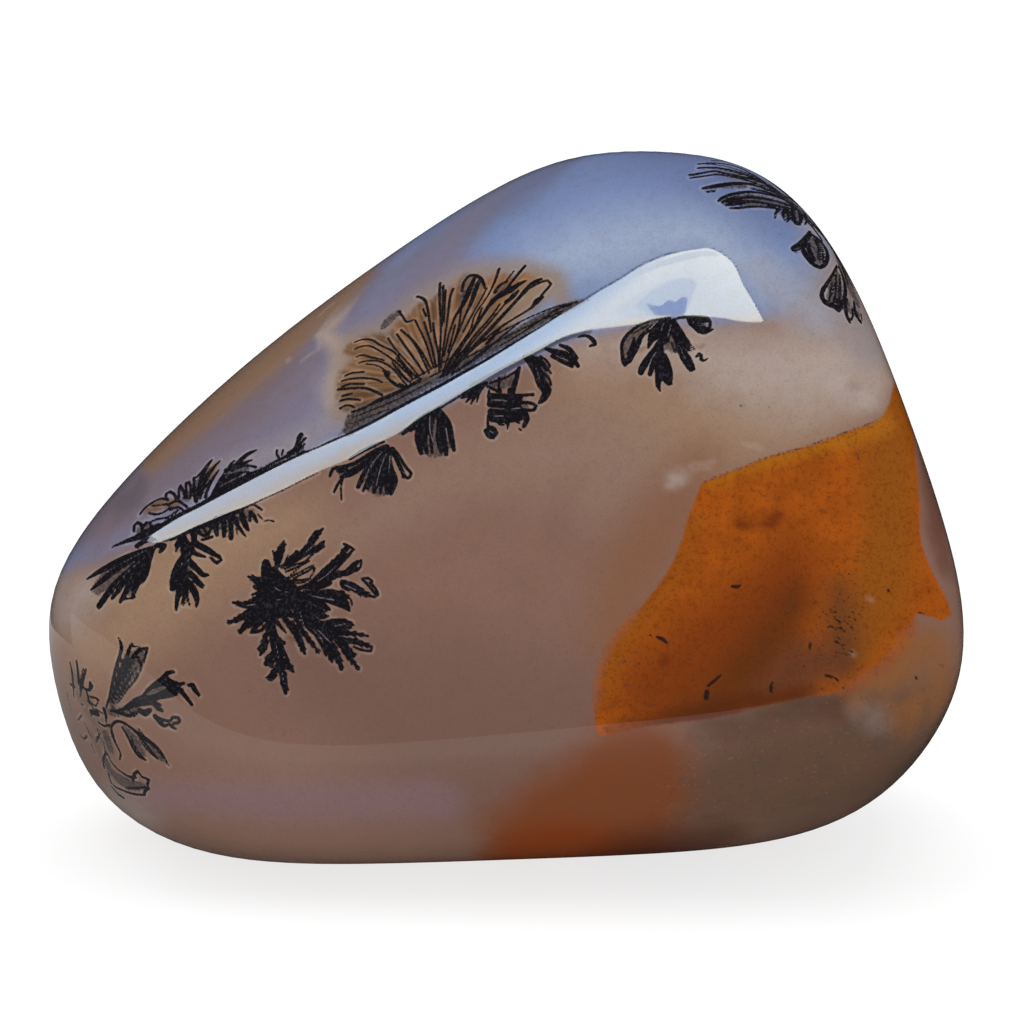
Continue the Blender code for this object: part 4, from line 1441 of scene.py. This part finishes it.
tint = covered(
    tint,
    ("soot", (74, 71, 76), 0.6, 0.55, 0.9),
    ("veil", (143, 133, 137), 0.8, 0.8, 0.6),
    ("tear", (168, 149, 136), 0.5, 0.9, 0.4),
    ("halo", (140, 123, 112), 0.6, 0.9, 0.4),
    ("pearl", (168, 153, 146), 0.7, 0.7, 0.5),
    ("dimple", (150, 132, 122), 0.3, 0.8, 0.3),
    ("rose", (104, 66, 54), 0.4, 0.9, 0.4),
)

clay = covered(
    mixed(ramp(drift, -0.3, 0.3), seen(115, 54, 14), seen(126, 59, 15)),
    ("flame", (189, 94, 17), 0.8, 0.95, 1.0),
    ("russet", (120, 53, 15), 1.6, 0.9, 1.6),
    ("gold", (139, 78, 20), 0.9, 0.85, 1.0),
    ("amber", (166, 100, 22), 0.5, 0.9, 0.6),
    ("loam", (104, 60, 30), 0.9, 0.85, 1.0),
    ("bole", (92, 47, 18), 1.1, 0.85, 1.0),
    ("plum", (92, 56, 38), 1.0, 0.85, 1.0),
    ("crust", (84, 39, 15), 0.5, 0.85, 0.5),
    ("blotch", (104, 42, 15), 0.3, 0.9, 0.5),
)
clay = mixed(ramp(noise(0.12, 1.0), 0.55, 0.68) * 0.32, clay, seen(78, 38, 14))
clay = mixed(ramp(noise(0.3, 2.0), 0.52, 0.7) * 0.25, clay, seen(90, 42, 14))

tint = mixed(ramp(attribute("ember") + wander * 0.9, 1.3, -1.3), tint, seen(122, 68, 40))
tint = covered(
    tint,
    ("coal", (128, 58, 21), 0.9, 0.95, 0.8),
    # The foot and the toe are painted shade, darker towards the bottom edge.
    ("foot", (82, 56, 44), 1.2, 0.6, 0.6),
    ("toe", (70, 28, 12), 1.2, 0.8, 0.6),
)
tint = mixed(ramp(noise(0.09, 1.0), 0.50, 0.70) * 0.14, tint, seen(78, 62, 56))
tint = mixed(ramp(noise(0.5, 2.0), 0.45, 0.75) * 0.10, tint, seen(96, 78, 70))
gritty = ramp(attribute("umber"), 0.8, -0.8)
tint = mixed(gritty * ramp(noise(0.16, 0.0), 0.70, 0.80) * 0.14, tint, seen(150, 130, 112))
tint = mixed(gritty * ramp(noise(0.2, 1.0), 0.62, 0.72) * 0.20, tint, seen(60, 46, 38))
tint = mixed(gritty * ramp(noise(1.4, 2.0), 0.48, 0.68) * 0.30, tint, seen(86, 72, 62))
melt = ramp(attribute("melt"), 0.8, -0.8) * 0.8 + 0.10
jasper_edge = attribute("jasper") + wander * 0.15 + ragged * (melt + 0.05)
tint = mixed(ramp(jasper_edge, melt, melt * -1.0), tint, clay)

fan_root, _ = under(np.array([FAN_ROOT], float))
offset = Wire.node("ShaderNodeVectorMath", {"operation": "SUBTRACT"}, {0: place, 1: fan_root[0] * MM})
beside = Wire.node("ShaderNodeVectorMath", {"operation": "DOT_PRODUCT"}, {0: offset, 1: image_right}, 1)
above = Wire.node("ShaderNodeVectorMath", {"operation": "DOT_PRODUCT"}, {0: offset, 1: image_up}, 1)
bearing = above.maths("ARCTAN2", beside)
turned = Wire.node("ShaderNodeCombineXYZ", {}, {0: bearing * SPOKES, 1: above * 300.0})
spokes = Wire.node("ShaderNodeTexNoise", {}, {"Vector": turned, "Scale": 1.0, "Detail": 3.0})
web = mixed(ramp(spokes, 0.35, 0.65), seen(88, 64, 45), seen(139, 101, 69))

tint = mixed(ramp(attribute("haze"), 0.35, -0.35) * 0.55, tint, seen(92, 78, 68))
tint = mixed(ramp(attribute("rust") + ragged * 0.2, 0.16, -0.16) * 0.9, tint, web)
tint = mixed(ramp(attribute("web") + ragged * 0.35, 0.30, -0.20) * 0.95, tint, web)
tint = covered(tint, ("fade", (146, 128, 114), 0.6, 0.7, 0.0))
# The dark band along the bright streak: painted shade.
shadow = mixed(ramp(ragged, -0.1, 0.1), seen(52, 49, 51), seen(72, 64, 60))
tint = mixed(ramp(attribute("streak_shade_band") + ragged * 0.15, 0.08, -0.10) * 0.9, tint, shadow)
tint = mixed(ramp(attribute("frost") + ragged * 0.15, 0.24, -0.14) * 0.22, tint, seen(190, 178, 170))
rim = ramp(attribute("ink"), 0.0, 0.06) * ramp(attribute("ink"), 0.17, 0.07)
tint = mixed(rim * (ramp(noise(0.6, 1.0), 0.4, 0.65) * 0.14 + 0.03), tint, seen(206, 192, 180))
# Painted shade: thin bluish lines along the bright streak's edges.
tint = mixed(ramp(attribute("streak_rim_shade") + ragged * 0.12, 0.09, -0.03) * 0.85, tint, seen(60, 62, 82))
cloudy = mixed(ramp(noise(0.13, 1.0), 0.4, 0.6), seen(50, 45, 47), seen(84, 74, 71))
tint = mixed(ramp(attribute("smoke") + ragged * 0.25, 0.06, -0.08) * 0.85, tint, cloudy)
tint = mixed(ramp(attribute("pit") + ragged * 0.08, 0.035, -0.02) * 0.92, tint, seen(32, 22, 19))
black = mixed(ramp(noise(0.14, 1.0), 0.50, 0.72) * 0.5, seen(18, 16, 20), seen(54, 52, 62))
black = mixed(ramp(attribute("glint") + ragged * 0.05, 0.025, -0.01) * 0.75, black, seen(124, 116, 122))
tint = mixed(ramp(attribute("ink") + ragged * 0.07, 0.028, -0.006), tint, black)

shader = polish.node_tree.nodes["Principled BSDF"]
tint.feed(shader.inputs["Base Color"])
shader.inputs["Roughness"].default_value = ROUGHNESS
shader.inputs["IOR"].default_value = REFRACTION
stone.data.materials.append(polish)

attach(stone, "root")
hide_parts("agate")

# The studio. A pale floor and pale surroundings that light the stone softly from all sides. The
# gloss sees them dimmed: the room is shaded so that the polish mirrors little but the lamp, and a
# dark card stands behind the stone, out of the camera's sight, to draw its outline.
ROOM_GLOW = 0.95
ROOM_GLOSS = 0.05
FLOOR_RADIUS = 3.0
FLOOR_PALE = 0.28
FLOOR_LIFT = 0.75
FLOOR_BOUNCE = 1.0
FLOOR_GLOSS = 0.52
FLOOR_GLOSS_NEAR = 0.0
FLOOR_GLOSS_FAR = 0.09
FLOOR_GLOSS_RIGHT = 0.1
GLOSS_FADES = (0.03, -0.01)
CARD_DISTANCE = 60.0
CARD_HEIGHT = 50.0


def plain(name, colour, strength=None):
    """A matt paint, or a glowing cloth where a strength is given."""
    paint = bpy.data.materials.new(name)
    paint.use_nodes = True
    coat = paint.node_tree.nodes["Principled BSDF"]
    coat.inputs["Base Color"].default_value = colour
    coat.inputs["Roughness"].default_value = 1.0
    coat.inputs["Specular IOR Level"].default_value = 0.0
    if strength is not None:
        coat.inputs["Emission Color"].default_value = colour
        coat.inputs["Emission Strength"].default_value = strength
    return paint


bpy.ops.object.select_all(action="DESELECT")
bpy.ops.mesh.primitive_circle_add(vertices=96, radius=FLOOR_RADIUS, fill_type="NGON")
floor = bpy.context.object
floor.name = "studio_floor"
floor_paint = plain("pale_floor", (FLOOR_PALE, FLOOR_PALE, FLOOR_PALE, 1))
floor.data.materials.append(floor_paint)
Wire.tree = floor_paint.node_tree
floor_coat = Wire.tree.nodes["Principled BSDF"]
to_eye = Wire.node("ShaderNodeLightPath", output="Is Camera Ray")
to_gloss = Wire.node("ShaderNodeLightPath", output="Is Glossy Ray")
spot = Wire.node("ShaderNodeTexCoord", output=3)
span = Wire.node("ShaderNodeVectorMath", {"operation": "LENGTH"}, {0: spot}, 1)
leftward = ramp(Wire.node("ShaderNodeSeparateXYZ", {}, {0: spot}), *GLOSS_FADES)
leftward = leftward * (1 - FLOOR_GLOSS_RIGHT) + FLOOR_GLOSS_RIGHT
gloss = ramp(span, FLOOR_GLOSS_NEAR, FLOOR_GLOSS_FAR) * leftward * FLOOR_GLOSS
glow = to_eye * FLOOR_LIFT + (1 - to_eye) * ((1 - to_gloss) * FLOOR_BOUNCE + to_gloss * gloss)
(to_eye * FLOOR_PALE).feed(floor_coat.inputs["Base Color"])
glow.feed(floor_coat.inputs["Emission Color"])
floor_coat.inputs["Emission Strength"].default_value = 1.0
floor_paint.cycles.emission_sampling = "NONE"

bpy.ops.object.select_all(action="DESELECT")
bpy.ops.mesh.primitive_cylinder_add(
    vertices=72, radius=CARD_DISTANCE * MM, depth=CARD_HEIGHT * MM, end_fill_type="NOTHING",
    location=(0, 0, CARD_HEIGHT * MM / 2))
card = bpy.context.object
card.name = "dark_card"
bpy.ops.object.mode_set(mode="EDIT")
bpy.ops.mesh.select_all(action="SELECT")
bpy.ops.mesh.bisect(plane_co=(0, 0, 0), plane_no=(0, 1, 0), clear_inner=True)
bpy.ops.object.mode_set(mode="OBJECT")
card.data.materials.append(plain("dark_felt", (0.01, 0.01, 0.01, 1)))
card.visible_camera = card.visible_diffuse = card.visible_shadow = card.visible_transmission = False

# The lamp. A cloth lit from behind, cut to the shape that the polish mirrors as the long bright
# streak: each point of the streak's outline is followed from the camera to the stone and on,
# by the angle that it is mirrored at, to where the cloth hangs. Four smaller cloths close in front
# of it make the feathers of light at the streak's right end.
LAMP_DISTANCE = 500.0
LAMP_RADIANCE = 9.0
LAMP_LEFT = (0.46, 0.58, 0.62, 1)
LAMP_RIGHT = (0.95, 0.93, 0.70, 1)
DIM_UNTIL = (480, 373)
BRIGHT_FROM = (620, 303)
VEIL = [
    (612, 287), (640, 270), (660, 261), (690, 252.5), (710, 251), (720, 256), (700, 256.5), (680, 262),
    (655, 269), (625, 282),
]
FEATHER_FAN = [
    (612, 312), (630, 300), (648, 288), (668, 279), (686, 277), (698, 282), (695, 292), (690, 303),
    (684, 315), (668, 316), (640, 319),
]
FEATHER = [
    (634, 306), (650, 292), (672, 280), (688, 278), (697, 283), (694, 292), (690, 303), (684, 315),
    (668, 316), (652, 316),
]
FEATHER_ROOT = [
    (646, 303), (660, 306), (668, 300), (676, 302), (680, 298), (687, 297), (686, 308), (683, 315.5),
    (668, 316), (655, 314),
]


def mirrored(outline):
    """The directions that the stone mirrors at these pixels, and where from."""
    points, _ = under(np.array(outline, float))
    sight = camera_eye - points
    sight /= np.linalg.norm(sight, axis=1)[:, None]
    normals = outward(points)
    return points, 2 * (sight * normals).sum(axis=1)[:, None] * normals - sight


_, lamp_rays = mirrored(STREAK_TOP)
lamp_facing = lamp_rays.mean(axis=0) / np.linalg.norm(lamp_rays.mean(axis=0))
lamp_side = np.cross((0, 0, 1), lamp_facing) / np.linalg.norm(np.cross((0, 0, 1), lamp_facing))
lamp_rise = np.cross(lamp_facing, lamp_side)


def on_cloth(pixels, distance):
    """Where a cloth at this distance is mirrored at these pixels, across and up the cloth."""
    points, rays = mirrored(pixels)
    corners = points + rays * ((distance - points @ lamp_facing) / (rays @ lamp_facing))[:, None]
    return np.column_stack([corners @ lamp_side, corners @ lamp_rise]) * MM


def hang(name, outline, distance, colour, strength):
    """Hangs a flat cloth that the stone mirrors with this outline."""
    rim = on_cloth(smoothed([(x, y, 0) for x, y in outline + outline[:1]])[:-1, :2], distance)
    cloth = bpy.data.curves.new(name, "CURVE")
    cloth.dimensions = "2D"
    cloth.fill_mode = "BOTH"
    spline = cloth.splines.new("POLY")
    spline.points.add(len(rim) - 1)
    for knot, corner in zip(spline.points, rim):
        knot.co = (*corner, 0, 1)
    spline.use_cyclic_u = True
    lamp = bpy.data.objects.new(name, cloth)
    bpy.context.scene.collection.objects.link(lamp)
    rotation = Matrix((lamp_side, lamp_rise, lamp_facing)).transposed()
    lamp.matrix_world = rotation.to_4x4() @ Matrix.Translation((0, 0, distance * MM))
    cloth.materials.append(plain(name, colour, strength))
    cloth.materials[0].cycles.emission_sampling = "NONE"
    lamp.visible_camera = lamp.visible_shadow = lamp.visible_diffuse = False
    return cloth.materials[0]


lit_cloth = hang("lamp_cloth", STREAK_TOP + STREAK_FOOT, LAMP_DISTANCE, LAMP_RIGHT, LAMP_RADIANCE)
hang("veil_shade", VEIL, LAMP_DISTANCE - 2, (0.80, 0.80, 0.62, 1), LAMP_RADIANCE * 0.85)
hang("feather_fan_shade", FEATHER_FAN, LAMP_DISTANCE - 3, (0.86, 0.86, 0.68, 1), LAMP_RADIANCE)
hang("feather_shade", FEATHER, LAMP_DISTANCE - 4, (0.70, 0.74, 0.62, 1), LAMP_RADIANCE)
hang("feather_root_shade", FEATHER_ROOT, LAMP_DISTANCE - 6, (0.20, 0.26, 0.40, 1), LAMP_RADIANCE * 0.7)

Wire.tree = lit_cloth.node_tree
along = Wire.node("ShaderNodeSeparateXYZ", {}, {0: Wire.node("ShaderNodeTexCoord", output=3)})
dim_end, bright_end = on_cloth([DIM_UNTIL, BRIGHT_FROM], LAMP_DISTANCE)[:, 0]
mixed(ramp(along, dim_end, bright_end), LAMP_LEFT, LAMP_RIGHT).feed(
    Wire.tree.nodes["Principled BSDF"].inputs["Emission Color"])

# The top light fills from above. It lights the stone, and the polish doesn't mirror it.
TOP_LIGHT_SIZE = 0.8
TOP_LIGHT_WATTS = 3.0
TOP_LIGHT_PLACE = (0.0, -0.15, 0.8)
TOP_LIGHT_TILT = -10

top_lamp = bpy.data.lights.new("top_light", "AREA")
top_lamp.size = TOP_LIGHT_SIZE
top_lamp.energy = TOP_LIGHT_WATTS
top_light = bpy.data.objects.new("top_light", top_lamp)
bpy.context.scene.collection.objects.link(top_light)
top_light.location = TOP_LIGHT_PLACE
top_light.rotation_euler = (math.radians(TOP_LIGHT_TILT), 0, 0)
top_light.visible_glossy = False

world = bpy.data.worlds.new("studio")
bpy.context.scene.world = world
world.use_nodes = True
room = world.node_tree.nodes["Background"]
room.inputs["Color"].default_value = (1, 1, 1, 1)
room_ray = world.node_tree.nodes.new("ShaderNodeLightPath")
room_glow = world.node_tree.nodes.new("ShaderNodeMapRange")
room_glow.inputs["To Min"].default_value = ROOM_GLOW
room_glow.inputs["To Max"].default_value = ROOM_GLOSS
world.node_tree.links.new(room_ray.outputs["Is Glossy Ray"], room_glow.inputs["Value"])
world.node_tree.links.new(room_glow.outputs["Result"], room.inputs["Strength"])
bpy.context.scene.view_settings.view_transform = "Standard"
